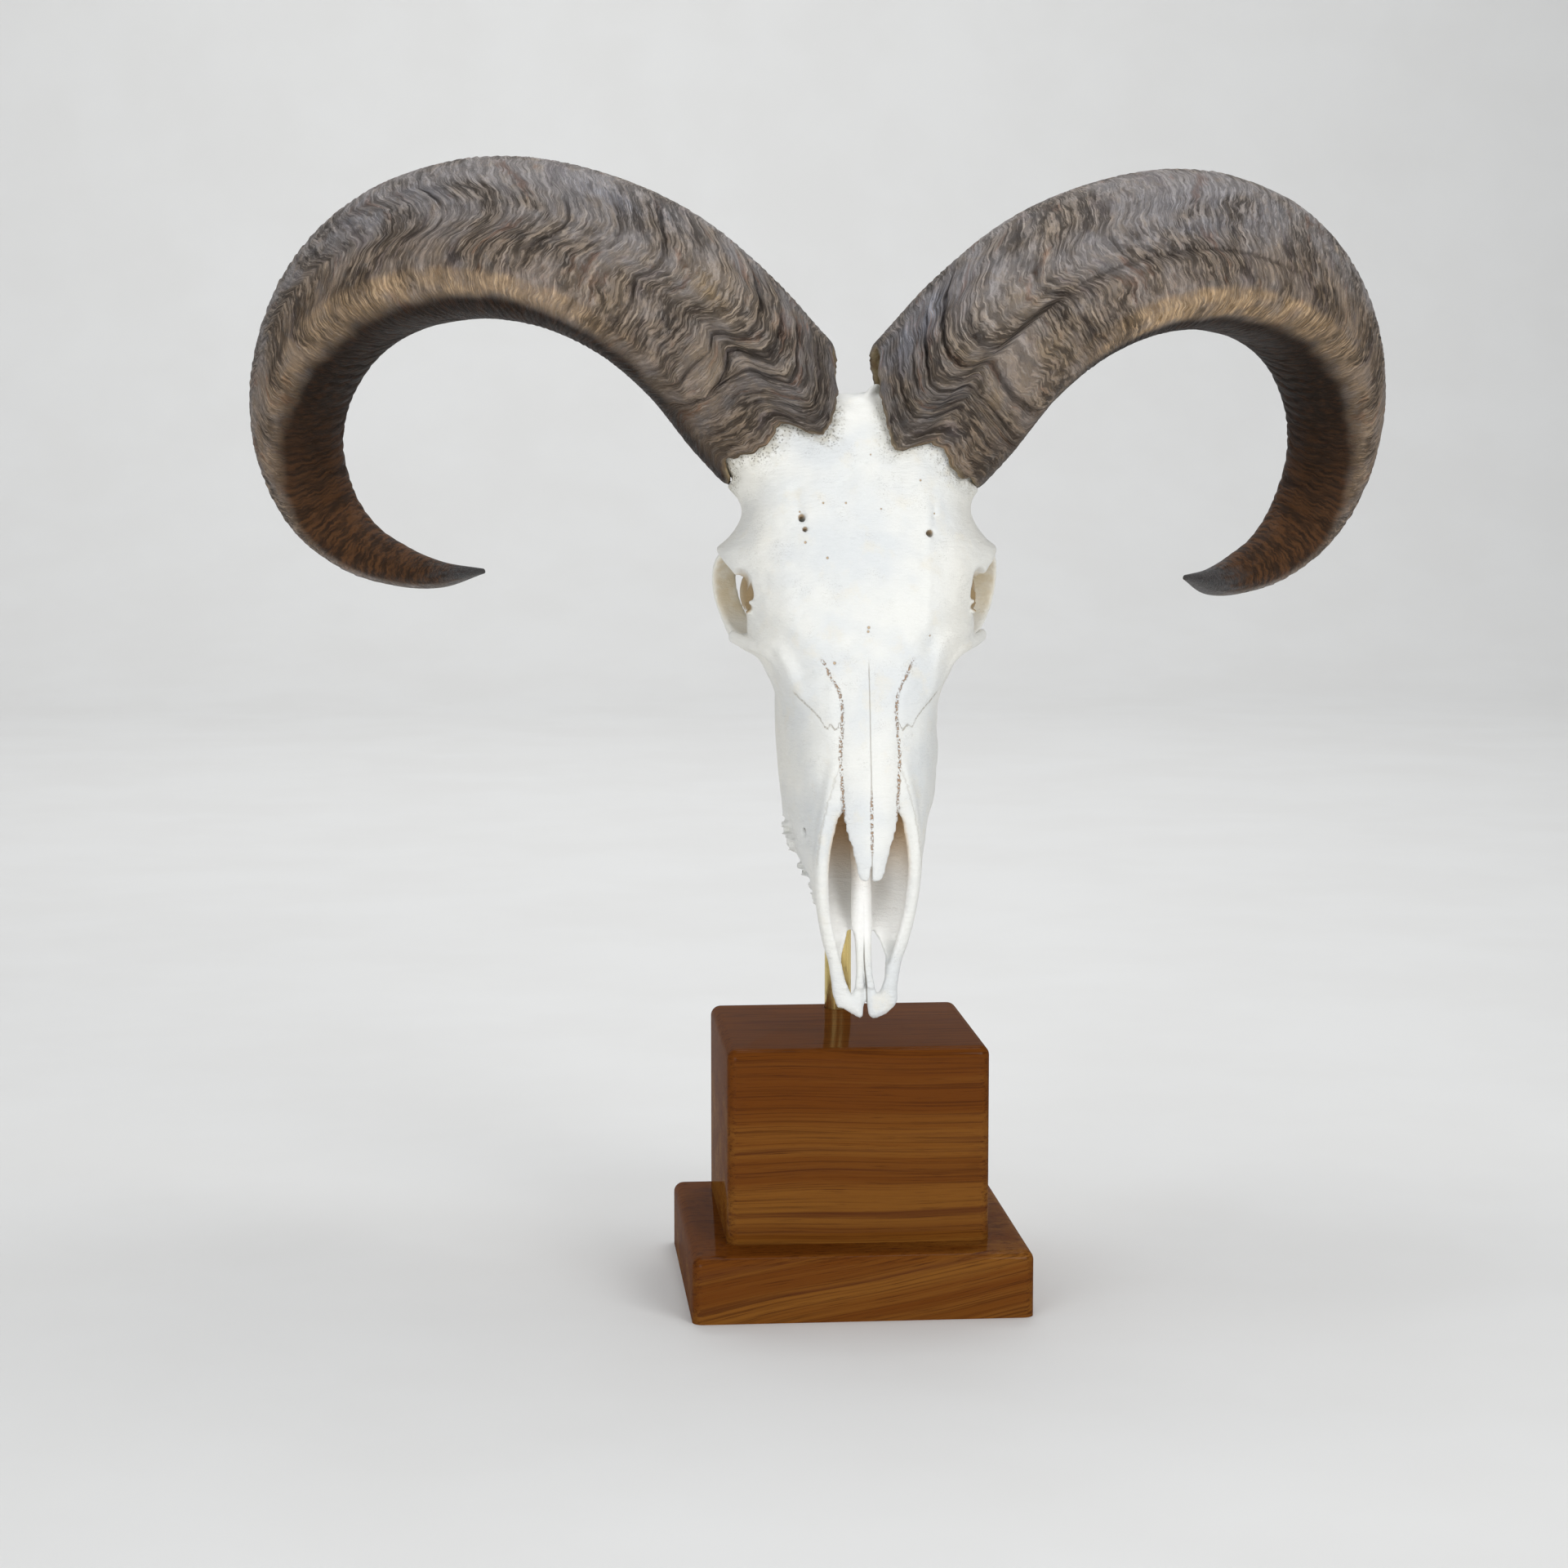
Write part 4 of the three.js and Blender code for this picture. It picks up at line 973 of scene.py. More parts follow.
# Blender meshes, objects and node helpers
def new_object(name, points, quads, caps=()):
    """An object of quads, and of triangles where it has caps."""
    mesh = bpy.data.meshes.new(name)
    mesh.vertices.add(len(points))
    mesh.vertices.foreach_set("co", np.ascontiguousarray(points, np.float32).ravel())
    sizes = np.concatenate([np.full(len(quads), 4), np.full(len(caps), 3)]).astype(np.int32)
    corners = np.concatenate([quads.ravel(), np.ravel(caps)]).astype(np.int32)
    starts = np.concatenate([[0], np.cumsum(sizes)[:-1]]).astype(np.int32)
    mesh.loops.add(len(corners))
    mesh.loops.foreach_set("vertex_index", corners)
    mesh.polygons.add(len(sizes))
    mesh.polygons.foreach_set("loop_start", starts)
    mesh.update(calc_edges=True)
    mesh.validate()
    mesh.shade_smooth()
    made = bpy.data.objects.new(name, mesh)
    bpy.context.scene.collection.objects.link(made)
    return made


def point_values(piece, name, values):
    """Keeps a number, a vector or a colour for each point of a piece."""
    values = np.asarray(values, np.float32)
    kinds = {1: ("FLOAT", "value"), 3: ("FLOAT_VECTOR", "vector"), 4: ("FLOAT_COLOR", "color")}
    kind, key = kinds[1 if values.ndim == 1 else values.shape[1]]
    layer = piece.data.attributes.new(name, kind, "POINT")
    layer.data.foreach_set(key, np.ascontiguousarray(values).ravel())


def points_of(piece):
    points = np.empty(len(piece.data.vertices) * 3, np.float32)
    piece.data.vertices.foreach_get("co", points)
    return points.reshape(-1, 3).astype(float)


def deselect_all():
    if bpy.context.object and bpy.context.object.mode != "OBJECT":
        bpy.ops.object.mode_set(mode="OBJECT")
    bpy.ops.object.select_all(action="DESELECT")


def select_only(*objects):
    deselect_all()
    for piece in objects:
        piece.select_set(True)
    bpy.context.view_layer.objects.active = objects[0]


def settle(piece):
    """Puts the piece's place, turn and size into its mesh."""
    select_only(piece)
    bpy.ops.object.transform_apply(location=True, rotation=True, scale=True)


def finish_piece(piece, material, slot, *nodes):
    piece.data.materials.clear()
    piece.data.materials.append(material)
    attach(piece, "root")
    if nodes:
        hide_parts(*nodes)


class Shading:
    """Adds nodes to a material or group by kind, with their settings and inputs."""

    def __init__(self, tree):
        self.tree = tree

    def put(self, socket, value):
        """Links another node's output to a socket, or sets the socket's own value."""
        if isinstance(value, bpy.types.NodeSocket):
            self.tree.links.new(value, socket)
        else:
            socket.default_value = (*value, 1) if socket.type == "RGBA" else value

    def node(self, kind, inputs=(), **settings):
        made = self.tree.nodes.new(kind)
        for key, value in settings.items():
            setattr(made, key, value)
        for key, value in dict(inputs).items():
            self.put(made.inputs[key], value)
        return made

    def maths(self, operation, first, second=0.0, clamp=False):
        inputs = {0: first, 1: second}
        return self.node("ShaderNodeMath", inputs, operation=operation, use_clamp=clamp).outputs[0]

    def chain(self, operation, first, *others):
        for other in others:
            first = self.maths(operation, first, other)
        return first

    def times(self, *values):
        return self.chain("MULTIPLY", *values)

    def plus(self, *values):
        return self.chain("ADD", *values)

    def most(self, *values):
        return self.chain("MAXIMUM", *values)

    def minus(self, first, second):
        return self.maths("SUBTRACT", first, second)

    def rest(self, value):
        """What is left of one."""
        return self.minus(1.0, value)

    def apart(self, first, second):
        """How far two values lie apart."""
        return self.maths("ABSOLUTE", self.minus(first, second))

    def summed(self, *pairs):
        """The sum of values, each times its weight."""
        return self.plus(*(self.times(value, weight) for value, weight in pairs))

    def vector(self, operation, first, second):
        made = self.node("ShaderNodeVectorMath", {0: first, 1: second}, operation=operation)
        return made.outputs["Value" if operation == "DISTANCE" else "Vector"]

    def joined(self, x=0.0, z=0.0):
        return self.node("ShaderNodeCombineXYZ", {0: x, 2: z}).outputs[0]

    def parts(self, value, kind="XYZ"):
        """The three parts of a vector or a colour."""
        return tuple(self.node(f"ShaderNodeSeparate{kind}", {0: value}).outputs)

    def attribute(self, name, output="Fac"):
        return self.node("ShaderNodeAttribute", attribute_name=name).outputs[output]

    def coordinates(self):
        return self.node("ShaderNodeTexCoord").outputs["Object"]

    def mapped(self, vector, place=(0, 0, 0), turn=(0, 0, 0), scale=(1, 1, 1)):
        inputs = {"Vector": vector, "Location": place, "Rotation": turn, "Scale": scale}
        return self.node("ShaderNodeMapping", inputs).outputs[0]

    def millimetres(self, place=(0, 0, 0), turn=(0, 0, 0), scale=1000):
        """Object coordinates in millimetres, moved so that the given place is nothing."""
        return self.mapped(self.coordinates(), tuple(-value for value in place), turn, (scale,) * 3)

    def noise(self, vector, scale, detail=4.0, roughness=0.55):
        inputs = {"Vector": vector, "Scale": scale, "Detail": detail, "Roughness": roughness}
        return self.node("ShaderNodeTexNoise", inputs).outputs["Fac"]

    def stretched(self, vector, scale, detail=4.0, roughness=0.55, place=(0, 0, 0)):
        """Noise with a scale of its own along each axis."""
        return self.noise(self.mapped(vector, place, scale=scale), 1.0, detail, roughness)

    def cells(self, vector, scale):
        return self.node("ShaderNodeTexVoronoi", {"Vector": vector, "Scale": scale}).outputs["Distance"]

    def band(self, value, low, high, bottom=0.0, top=1.0):
        """A smooth step from bottom to top as the value goes from low to high."""
        inputs = {"Value": value, "From Min": low, "From Max": high, "To Min": bottom, "To Max": top}
        return self.node("ShaderNodeMapRange", inputs, interpolation_type="SMOOTHSTEP").outputs[0]

    def graph(self, value, points):
        """A curve through points whose numbers lie between nothing and CURVE_SPAN."""
        made = self.node("ShaderNodeFloatCurve", {"Value": self.maths("DIVIDE", value, CURVE_SPAN)})
        curve = made.mapping.curves[0]
        places = [(first / CURVE_SPAN, second / CURVE_SPAN) for first, second in points]
        for place in places[1:-1]:
            curve.points.new(*place)
        curve.points[0].location, curve.points[-1].location = places[0], places[-1]
        made.mapping.extend = "HORIZONTAL"
        made.mapping.update()
        return self.times(made.outputs[0], CURVE_SPAN)

    def mix(self, share, first, second):
        inputs = {0: share, 6: first, 7: second}
        return self.node("ShaderNodeMix", inputs, data_type="RGBA", clamp_factor=True).outputs[2]

    def layered(self, colour, *layers):
        """A colour with others laid over it in turn, each by the product of its shares."""
        for added, *shares in layers:
            colour = self.mix(self.times(*shares), colour, added)
        return colour

    def bumped(self, height, distance, strength=1.0):
        inputs = {"Height": height, "Distance": distance, "Strength": strength}
        return self.node("ShaderNodeBump", inputs).outputs[0]


class Finish(Shading):
    """A material with one Principled surface."""

    def __init__(self, name, **surface):
        self.material = bpy.data.materials.new(name)
        self.material.use_nodes = True
        super().__init__(self.material.node_tree)
        self.surface = next(node for node in self.tree.nodes if node.type == "BSDF_PRINCIPLED")
        self.feed(**surface)

    def feed(self, **sockets):
        """Sets or links the surface's sockets, and gives back the material."""
        for key, value in sockets.items():
            self.put(self.surface.inputs[key.replace("_", " ")], value)
        return self.material


# Finishes
CURVE_SPAN = 200.0
SEAMS = {
    # height and half width
    "nasal": (
        (84, 12.3), (96, 12.4), (114, 13.3), (124, 13.6), (134, 12.8), (146, 12.7), (150.5, 13.5),
        (154, 15), (158, 17.4), (162, 19.2), (165.5, 21.1), (172, 23),
    ),
    "snout": ((74, 24), (86, 22.6), (100, 19.5), (115, 15), (119, 13.7)),
    # half width and height
    "cheek": (
        (12, 138), (13.5, 137.3), (15.7, 134.4), (17.5, 136.3), (19.4, 134.9), (21.8, 138.5),
        (25, 142.3), (29.5, 146.5), (32.5, 149.5), (36, 153),
    ),
}
# Small pits on the face: x, height, radius
FACE_PITS = (
    (-27.2, 218.3, 0.6), (-18.6, 236.1, 0.5), (-8.2, 236.1, 0.5), (-17.5, 211.4, 0.6), (26.9, 246.2, 0.5),
    (-28.4, 229.6, 1.45), (-27, 224.2, 1.1), (30.6, 222.2, 1.45), (33.2, 231, 0.4), (-29.2, 232, 0.45),
    (7.9, 233.4, 0.4), (0.4, 180.2, 0.7), (0.1, 178.4, 0.6), (-15.5, 164.3, 0.7), (29, 176, 0.4), (4, 258, 0.4),
)
# Three layers of cracks on the horns: how close they lie, detail, outer and inner half width, strength
CRACKS = ((0.24, 3, 0.07, 0.02, 1.0), (0.5, 2, 0.1, 0.03, 0.9), (1.0, 2, 0.15, 0.05, 0.55))


def bone_finish(settings):
    s = Finish("bone")
    place = s.millimetres(HEAD_AT / HEAD_SCALE, scale=1000 / HEAD_SCALE)
    x, y, z = s.parts(place)
    away = s.maths("ABSOLUTE", x)
    cavity, socket, stain = s.parts(s.attribute("zones", "Color"), "Color")
    open_face = s.rest(s.maths("ADD", cavity, socket, clamp=True))
    middling = s.noise(place, 0.09)

    # Seams between the bones
    wander = s.times(s.minus(s.noise(place, 0.5, 3, 0.7), 0.5), 3.2)
    jagged = s.plus(away, wander)
    seams = {}
    for name, width, low, high in (("nasal", 0.95, 84, 167.5), ("snout", 0.6, 72, 118)):
        line = s.band(s.apart(jagged, s.graph(z, SEAMS[name])), width, width / 4)
        seams[name] = s.times(line, s.band(z, low - 2, low + 2), s.band(z, high, high - 4))
    line = s.band(s.apart(s.plus(z, s.times(wander, 0.9)), s.graph(jagged, SEAMS["cheek"])), 0.8, 0.25)
    seams["cheek"] = s.times(line, s.band(away, 12, 14), s.band(away, 34, 32), 0.7)
    pitted = s.times(s.band(z, 76, 82), s.band(z, 112, 100))
    middle = s.maths("ABSOLUTE", s.plus(x, s.times(wander, 0.08)))
    line = s.band(s.maths("DIVIDE", middle, s.plus(s.times(pitted, 0.55), 0.32)), 1.0, 0.4)
    seams["middle"] = s.times(line, s.band(z, 62, 66), s.band(z, 168, 160))
    beads = s.band(s.noise(place, 1.0, 2, 0.6), 0.44, 0.56)
    front = s.times(open_face, s.band(y, -8, -14))
    brown = s.most(s.times(seams["nasal"], beads), s.times(seams["middle"], pitted, beads))
    brown = s.times(brown, front)
    grey = s.most(
        s.times(seams["cheek"], s.band(beads, 0.0, 1.0, 0.45, 1.0)),
        s.times(seams["middle"], s.rest(pitted), 0.55),
        s.times(seams["snout"], 0.25),
    )
    grey = s.times(grey, front)
    # Painted shade: near black along the slit cut down the middle process
    painted_slit_shade = s.band(s.apart(x, s.band(z, 8, 30, 0.1, -1.1)), 0.5, 0.15)
    painted_slit_shade = s.times(painted_slit_shade, s.band(z, 56, 50), s.band(y, -18, -24))

    # Pits, painted brown: partly their own colour, partly painted shade in and round them; and stipple near the
    # horns
    flat = s.joined(x, z)
    pit_colour_and_shade = []
    for at_x, at_z, radius in FACE_PITS:
        off = s.maths("DIVIDE", s.vector("DISTANCE", flat, (at_x, 0, at_z)), radius)
        pit_colour_and_shade.append(s.band(off, 1.25, 0.6))
    pit_colour_and_shade = s.times(s.most(*pit_colour_and_shade), open_face, s.band(y, 16, 8))
    stipple = s.times(s.band(s.cells(place, 0.9), 0.42, 0.16), stain)
    speck = s.times(s.band(s.cells(place, 1.6), 0.3, 0.05), s.band(s.noise(place, 0.07, 2), 0.48, 0.66))

    cheek = s.band(s.minus(away, s.times(z, 0.1)), 12, 26)
    warm = s.mix(s.band(s.noise(place, 0.12, 3), 0.35, 0.7), (0.74, 0.63, 0.44), (0.85, 0.8, 0.69))
    # Nasal cavity colour: tan high up, which is its own; lower down a white brighter than the bone, which is
    # painted light making up for the light its walls keep out
    deep = s.mix(s.band(z, 58, 98), (0.93, 0.925, 0.9), settings.hollow_colour)
    colour = s.layered(
        s.mix(s.band(s.noise(place, 0.022, 3), 0.4, 0.62), settings.bone_colour, settings.bone_cool),
        (settings.bone_cream, s.band(middling, 0.52, 0.75, 0, 0.5)),
        (settings.bone_cream, cheek, 0.35),
        (settings.seam_colour, brown, 0.85),
        ((0.31, 0.26, 0.18), grey, 0.85),
        # Painted shade in the slit
        ((0.09, 0.07, 0.04), painted_slit_shade, 0.75),
        # Brown of the pits, with painted shade in and round them
        ((0.5, 0.32, 0.15), pit_colour_and_shade, 0.8),
        ((0.42, 0.39, 0.3), stain, s.band(s.noise(place, 0.25, 3), 0.35, 0.6), 0.5),
        ((0.2, 0.17, 0.11), stipple, 0.55),
        (warm, socket, 0.85),
        # Painted shade in the sockets' front notches (the zones' fourth value)
        ((0.34, 0.24, 0.12), s.attribute("zones", "Alpha")),
        # Nasal cavity colours, with painted light lower down
        (deep, cavity, 0.9),
        ((0.4, 0.36, 0.28), speck, 0.35),
    )
    ripple = s.noise(s.mapped(place, scale=(1, 1, 3.2)), 0.16, 4, 0.6)
    grain = s.noise(place, 1.3, 3, 0.6)
    sunk = ((brown, -0.5), (grey, -0.35), (pit_colour_and_shade, -0.4), (speck, -0.18), (stipple, -0.5))
    relief = s.summed((ripple, 0.7), (grain, 0.1), *sunk)
    return s.feed(
        Base_Color=colour,
        Roughness=s.band(middling, 0.3, 0.7, 0.46, 0.6),
        Normal=s.bumped(relief, settings.bone_relief / 1000),
    )


def horn_finish(settings):
    s = Finish("horn", Coat_Roughness=0.3, Specular_IOR_Level=0.1)
    growth = s.attribute("growth", "Vector")
    grown = s.parts(growth)[0]
    keel, under, tip = s.parts(s.attribute("tints", "Color"), "Color")
    sheen, inner, groove = s.parts(s.attribute("marks", "Vector"))
    relief, painted_swell_highlight, warmth = s.attribute("relief"), s.attribute("painted_swell_highlight"), s.attribute("warmth")
    place = s.millimetres()
    waver = s.stretched(growth, (0.07, 0.12, 0.12), 3, 0.5)
    lines = s.vector("ADD", growth, s.joined(s.times(s.minus(waver, 0.5), 5.0)))
    ridges = s.stretched(lines, (0.4, 0.035, 0.035), 3, 0.6)
    fibres = s.stretched(lines, (1.1, 0.1, 0.1), 4, 0.65)
    hairs = s.stretched(lines, (2.4, 0.3, 0.3), 3, 0.6)
    flecks = s.stretched(lines, (0.45, 0.14, 0.14), 4, 0.6)
    rust = s.stretched(lines, (0.12, 0.04, 0.04), 4, 0.65)
    broad = s.stretched(growth, (0.05, 0.04, 0.04))
    grains = s.noise(place, 0.9, 5, 0.75)
    spots = s.noise(place, 0.11, 4, 0.6)
    cuts = []
    for rate, detail, outer, within, strength in CRACKS:
        cut = s.stretched(lines, (rate, 0.03, 0.03), detail, 0.55, (7 * rate, 0, 0))
        cuts.append(s.band(s.apart(cut, 0.5), outer, within, 0.0, strength))
    cracks = s.times(
        s.most(*cuts),
        s.band(flecks, 0.34, 0.5, 0.3, 1.0),
        s.band(broad, 0.62, 0.42, 0.6, 1.0),
        s.rest(s.times(s.most(under, tip), 0.8)),
    )

    dark, tan = settings.horn_dark, settings.horn_tan
    keel_colour = s.mix(s.band(flecks, 0.34, 0.56), (0.26, 0.165, 0.08), settings.horn_yellow)
    clear = s.times(s.rest(s.times(keel, 0.55)), s.band(spots, 0.66, 0.38, 0.55, 0.9))
    # Painted shade of the underside: near black higher up, over the lower horn's own reddish brown and bands
    shade = s.mix(s.band(flecks, 0.42, 0.68), (0.006, 0.0025, 0.001), (0.034, 0.013, 0.004))
    low_shade = s.mix(s.band(ridges, 0.4, 0.62), (0.03, 0.013, 0.005), (0.11, 0.046, 0.016))
    shade = s.mix(s.band(grown, 330, 470), shade, low_shade)
    point = s.mix(s.band(fibres, 0.3, 0.7), (0.03, 0.03, 0.032), (0.11, 0.11, 0.11))
    lining = s.mix(s.band(spots, 0.4, 0.6), (0.26, 0.18, 0.1), (0.42, 0.33, 0.2))
    colour = s.layered(
        s.mix(s.band(broad, 0.38, 0.62), settings.horn_brown, settings.horn_grey),
        (dark, s.band(grown, 130, 45), 0.45),
        ((0.37, 0.245, 0.14), warmth, 0.75),
        (tan, s.band(spots, 0.5, 0.7), 0.4),
        # Painted highlight: tan on the raised folds
        (tan, s.band(relief, 0.1, 1.4), 0.3),
        ((0.2, 0.2, 0.205), s.band(spots, 0.47, 0.32), 0.4),
        ((0.27, 0.12, 0.06), s.band(rust, 0.57, 0.68), 0.5),
        ((0.15, 0.12, 0.14), s.band(rust, 0.44, 0.34), 0.4),
        # Painted highlight: tan on the raised swellings
        ((0.5, 0.36, 0.21), painted_swell_highlight, s.band(flecks, 0.36, 0.56, 0.25, 1.0)),
        # Painted sheen: a blue-grey highlight laid on the horn's colour
        ((0.37, 0.38, 0.44), sheen, s.band(fibres, 0.35, 0.6, 0.3, 0.95)),
        (keel_colour, keel),
        (dark, s.band(ridges, 0.46, 0.3), 0.22, clear),
        (dark, s.band(fibres, 0.45, 0.32), 0.34, clear),
        (dark, s.band(grains, 0.46, 0.32), 0.42, clear),
        ((0.5, 0.44, 0.38), s.band(fibres, 0.54, 0.7), 0.45),
        ((0.5, 0.46, 0.43), s.band(hairs, 0.56, 0.7), 0.45),
        # Painted shade: darker down in the folds
        (dark, s.band(relief, -0.3, -1.1), 0.4),
        # Painted shade on the underside
        (shade, under, 0.97),
        (point, tip, 0.9),
        # Near black in the cracks, and painted shade in the carved deep grooves
        ((0.014, 0.01, 0.008), s.most(s.times(cracks, 0.85), s.times(groove, 0.7))),
        (lining, inner),
    )
    height = s.summed((ridges, 1.3), (fibres, 1.1), (grains, 0.5), (hairs, 0.3), (cracks, -0.6))
    height = s.times(height, s.rest(s.times(tip, 0.85)))
    return s.feed(
        Base_Color=colour,
        Roughness=s.band(fibres, 0.3, 0.7, 0.62, 0.42),
        Coat_Weight=s.times(sheen, 0.3),
        Normal=s.bumped(height, settings.horn_relief / 1000),
    )


def wood_grain_group():
    """A node group that draws wood grain along the pattern's own x axis."""
    group = bpy.data.node_groups.new("wood_grain", "ShaderNodeTree")
    sockets = {
        "INPUT": {"Vector": ("Place",), "Color": ("Main", "Dark", "Red", "Light"), "Float": ("Streaks",)},
        "OUTPUT": {"Color": ("Colour",), "Float": ("Roughness", "Height")},
    }
    for side, kinds in sockets.items():
        for kind, names in kinds.items():
            for name in names:
                group.interface.new_socket(name, in_out=side, socket_type=f"NodeSocket{kind}")
    s = Shading(group)
    taken = s.node("NodeGroupInput").outputs
    wave = s.noise(s.mapped(taken["Place"], scale=(0.5, 1, 1)), 0.01, 2)
    bent = s.vector("ADD", taken["Place"], s.joined(z=s.times(wave, 14.0)))
    bands = s.stretched(bent, (0.0016, 0.04, 0.075))
    bands = s.minus(bands, s.times(s.parts(bent)[2], 0.0035))
    grain = s.stretched(bent, (0.006, 0.5, 0.8), 5, 0.65)
    streak = s.stretched(bent, (0.0035, 0.08, 0.15))
    pores = s.stretched(bent, (0.045, 1.6, 2.2), 3, 0.6)
    colour = s.layered(
        s.mix(s.band(bands, 0.36, 0.64), taken["Main"], taken["Light"]),
        (taken["Dark"], s.band(grain, 0.52, 0.34), 0.6),
        (taken["Red"], s.band(streak, 0.55, 0.7), taken["Streaks"]),
        (taken["Dark"], s.band(pores, 0.56, 0.7), 0.6),
    )
    rough = s.band(pores, 0.4, 0.7, 0.28, 0.42)
    height = s.summed((grain, 0.4), (s.band(pores, 0.58, 0.72), -0.3))
    s.node("NodeGroupOutput", {"Colour": colour, "Roughness": rough, "Height": height})
    return group


def wood_finish(name, settings, grain, turn, centre):
    s = Finish(name, Coat_Weight=0.1, Coat_Roughness=0.06, Specular_IOR_Level=0.0)
    inputs = {
        "Place": s.millimetres(centre, turn),
        "Main": settings.wood_colour,
        "Dark": settings.wood_dark,
        "Red": settings.wood_red,
        "Light": settings.wood_light,
        "Streaks": 0.6,
    }
    drawn = s.node("ShaderNodeGroup", inputs, node_tree=grain).outputs
    bump = s.bumped(drawn["Height"], 0.00008, 0.6)
    return s.feed(Base_Color=drawn["Colour"], Roughness=drawn["Roughness"], Normal=bump)


def brass_finish(settings):
    s = Finish("brass", Metallic=1.0)
    place = s.millimetres()
    drawn = s.stretched(place, (1.2, 1.2, 0.02))
    marks = s.band(s.stretched(place, (0.5, 0.5, 0.16), 5), 0.56, 0.68)
    colour = s.mix(s.band(s.noise(place, 0.05), 0.38, 0.66), settings.brass_colour, settings.brass_dull)
    colour = s.layered(colour, ((0.3, 0.22, 0.09), marks, 0.3))
    rough = s.plus(s.band(drawn, 0.3, 0.7, 0.2, 0.36), s.times(marks, 0.12))
    return s.feed(Base_Color=colour, Roughness=rough, Normal=s.bumped(drawn, 0.00003, 0.5))


def enamel_finish(settings):
    s = Finish("enamel", Roughness=0.3, Coat_Weight=0.3, Coat_Roughness=0.2)
    place = s.millimetres()
    bands = s.stretched(place, (0.6, 0.12, 0.6))
    colour = s.layered(
        s.mix(s.band(bands, 0.4, 0.65), settings.tooth_colour, (0.34, 0.25, 0.13)),
        ((0.12, 0.08, 0.04), s.band(s.noise(place, 0.5, 3), 0.55, 0.7), 0.6),
    )
    return s.feed(Base_Color=colour, Normal=s.bumped(bands, 0.0004))


def floor_finish(settings):
    s = Finish("studio_floor", Roughness=0.7)
    tone = s.band(s.noise(s.coordinates(), 6.0, 3), 0.3, 0.7, 0, 0.25)
    return s.feed(Base_Color=s.mix(tone, settings.floor_colour, (0.7, 0.69, 0.67)))


# Settings that a user would change
def tint(name, description, value):
    return bpy.props.FloatVectorProperty(
        name=name, description=description, subtype="COLOR", size=3, min=0, max=1, default=value
    )


def amount(name, description, value, low=0.0, high=1.0):
    return bpy.props.FloatProperty(name=name, description=description, default=value, min=low, max=high)


def radius(name, description, value):
    return bpy.props.FloatProperty(
        name=name, description=description, default=value, min=0.001, max=0.02, unit="LENGTH"
    )


class MountBoneSettings(bpy.types.PropertyGroup):
    """Sizes and colours of the skull"""

    grid: amount("Grid", "Spacing of the skull's modelling grid in millimetres", 1.0, 0.8, 4)
    bone_colour: tint("Bone", "Main colour of the cleaned bone", (0.83, 0.83, 0.79))
    bone_cool: tint("Cool patches", "Blue-grey patches in the bone", (0.73, 0.75, 0.75))
    bone_cream: tint("Cream patches", "Cream patches in the bone", (0.8, 0.76, 0.66))
    hollow_colour: tint("Hollows", "Tan of the nasal cavity", (0.92, 0.62, 0.28))
    seam_colour: tint("Seams", "Brown of the pitted seams", (0.36, 0.18, 0.06))
    tooth_colour: tint("Teeth", "Enamel of the cheek teeth", (0.66, 0.58, 0.42))
    bone_relief: amount("Relief", "Depth of the surface relief in millimetres", 0.9, 0, 3)


class MountHornSettings(bpy.types.PropertyGroup):
    """Sizes and colours of the horn sheaths"""

    rows: bpy.props.IntProperty(
        name="Rows", description="Rings of points along a horn", default=630, min=60, max=640
    )
    columns: bpy.props.IntProperty(
        name="Columns", description="Points round a horn", default=150, min=40, max=208
    )
    horn_brown: tint("Brown", "Main brown of the horn", (0.395, 0.328, 0.272))
    horn_grey: tint("Grey", "Grey patches of the horn", (0.39, 0.358, 0.347))
    # horn_tan is also laid on the raised folds as a painted highlight
    horn_tan: tint("Tan", "Tan of the raised folds", (0.45, 0.34, 0.23))
    horn_yellow: tint("Keel", "Yellow tan band along the keel", (0.85, 0.59, 0.35))
    horn_dark: tint("Dark", "Dark brown of the grooves", (0.03, 0.02, 0.014))
    horn_relief: amount("Fibre relief", "Depth of the fibres in millimetres", 0.8, 0, 3)


class MountBaseSettings(bpy.types.PropertyGroup):
    """Sizes and colours of the wooden base and the rod"""

    corner: radius("Corner radius", "Radius of the upright corners", 0.005)
    top_edge: radius("Edge radius", "Radius of the top edge", 0.0045)
    wood_colour: tint("Wood", "Main brown of the wood", (0.122, 0.036, 0.005))
    wood_dark: tint("Dark grain", "Dark grain of the wood", (0.045, 0.012, 0.003))
    wood_red: tint("Red grain", "Reddish streaks of the wood", (0.06, 0.012, 0.005))
    wood_light: tint("Light grain", "Light patches of the wood", (0.19, 0.073, 0.012))
    brass_colour: tint("Brass", "Colour of the rod", (0.86, 0.67, 0.27))
    brass_dull: tint("Dull brass", "Tarnished patches on the rod", (0.6, 0.47, 0.19))


class MountStageSettings(bpy.types.PropertyGroup):
    """Floor and light"""

    floor_colour: tint("Floor", "Colour of the studio floor", (0.78, 0.78, 0.77))
    key_light: amount("Key light", "Power of the main light in watts", 16, 0, 500)
    fill_light: amount("Fill light", "Power of the side light in watts", 14, 0, 500)
    top_light: amount("Top light", "Power of the overhead light in watts", 10, 0, 500)
    backdrop_light: amount("Backdrop light", "Power of the light on the backdrop in watts", 40, 0, 500)
    surround: amount("Surround", "Strength of the even light all round", 0.44, 0, 5)


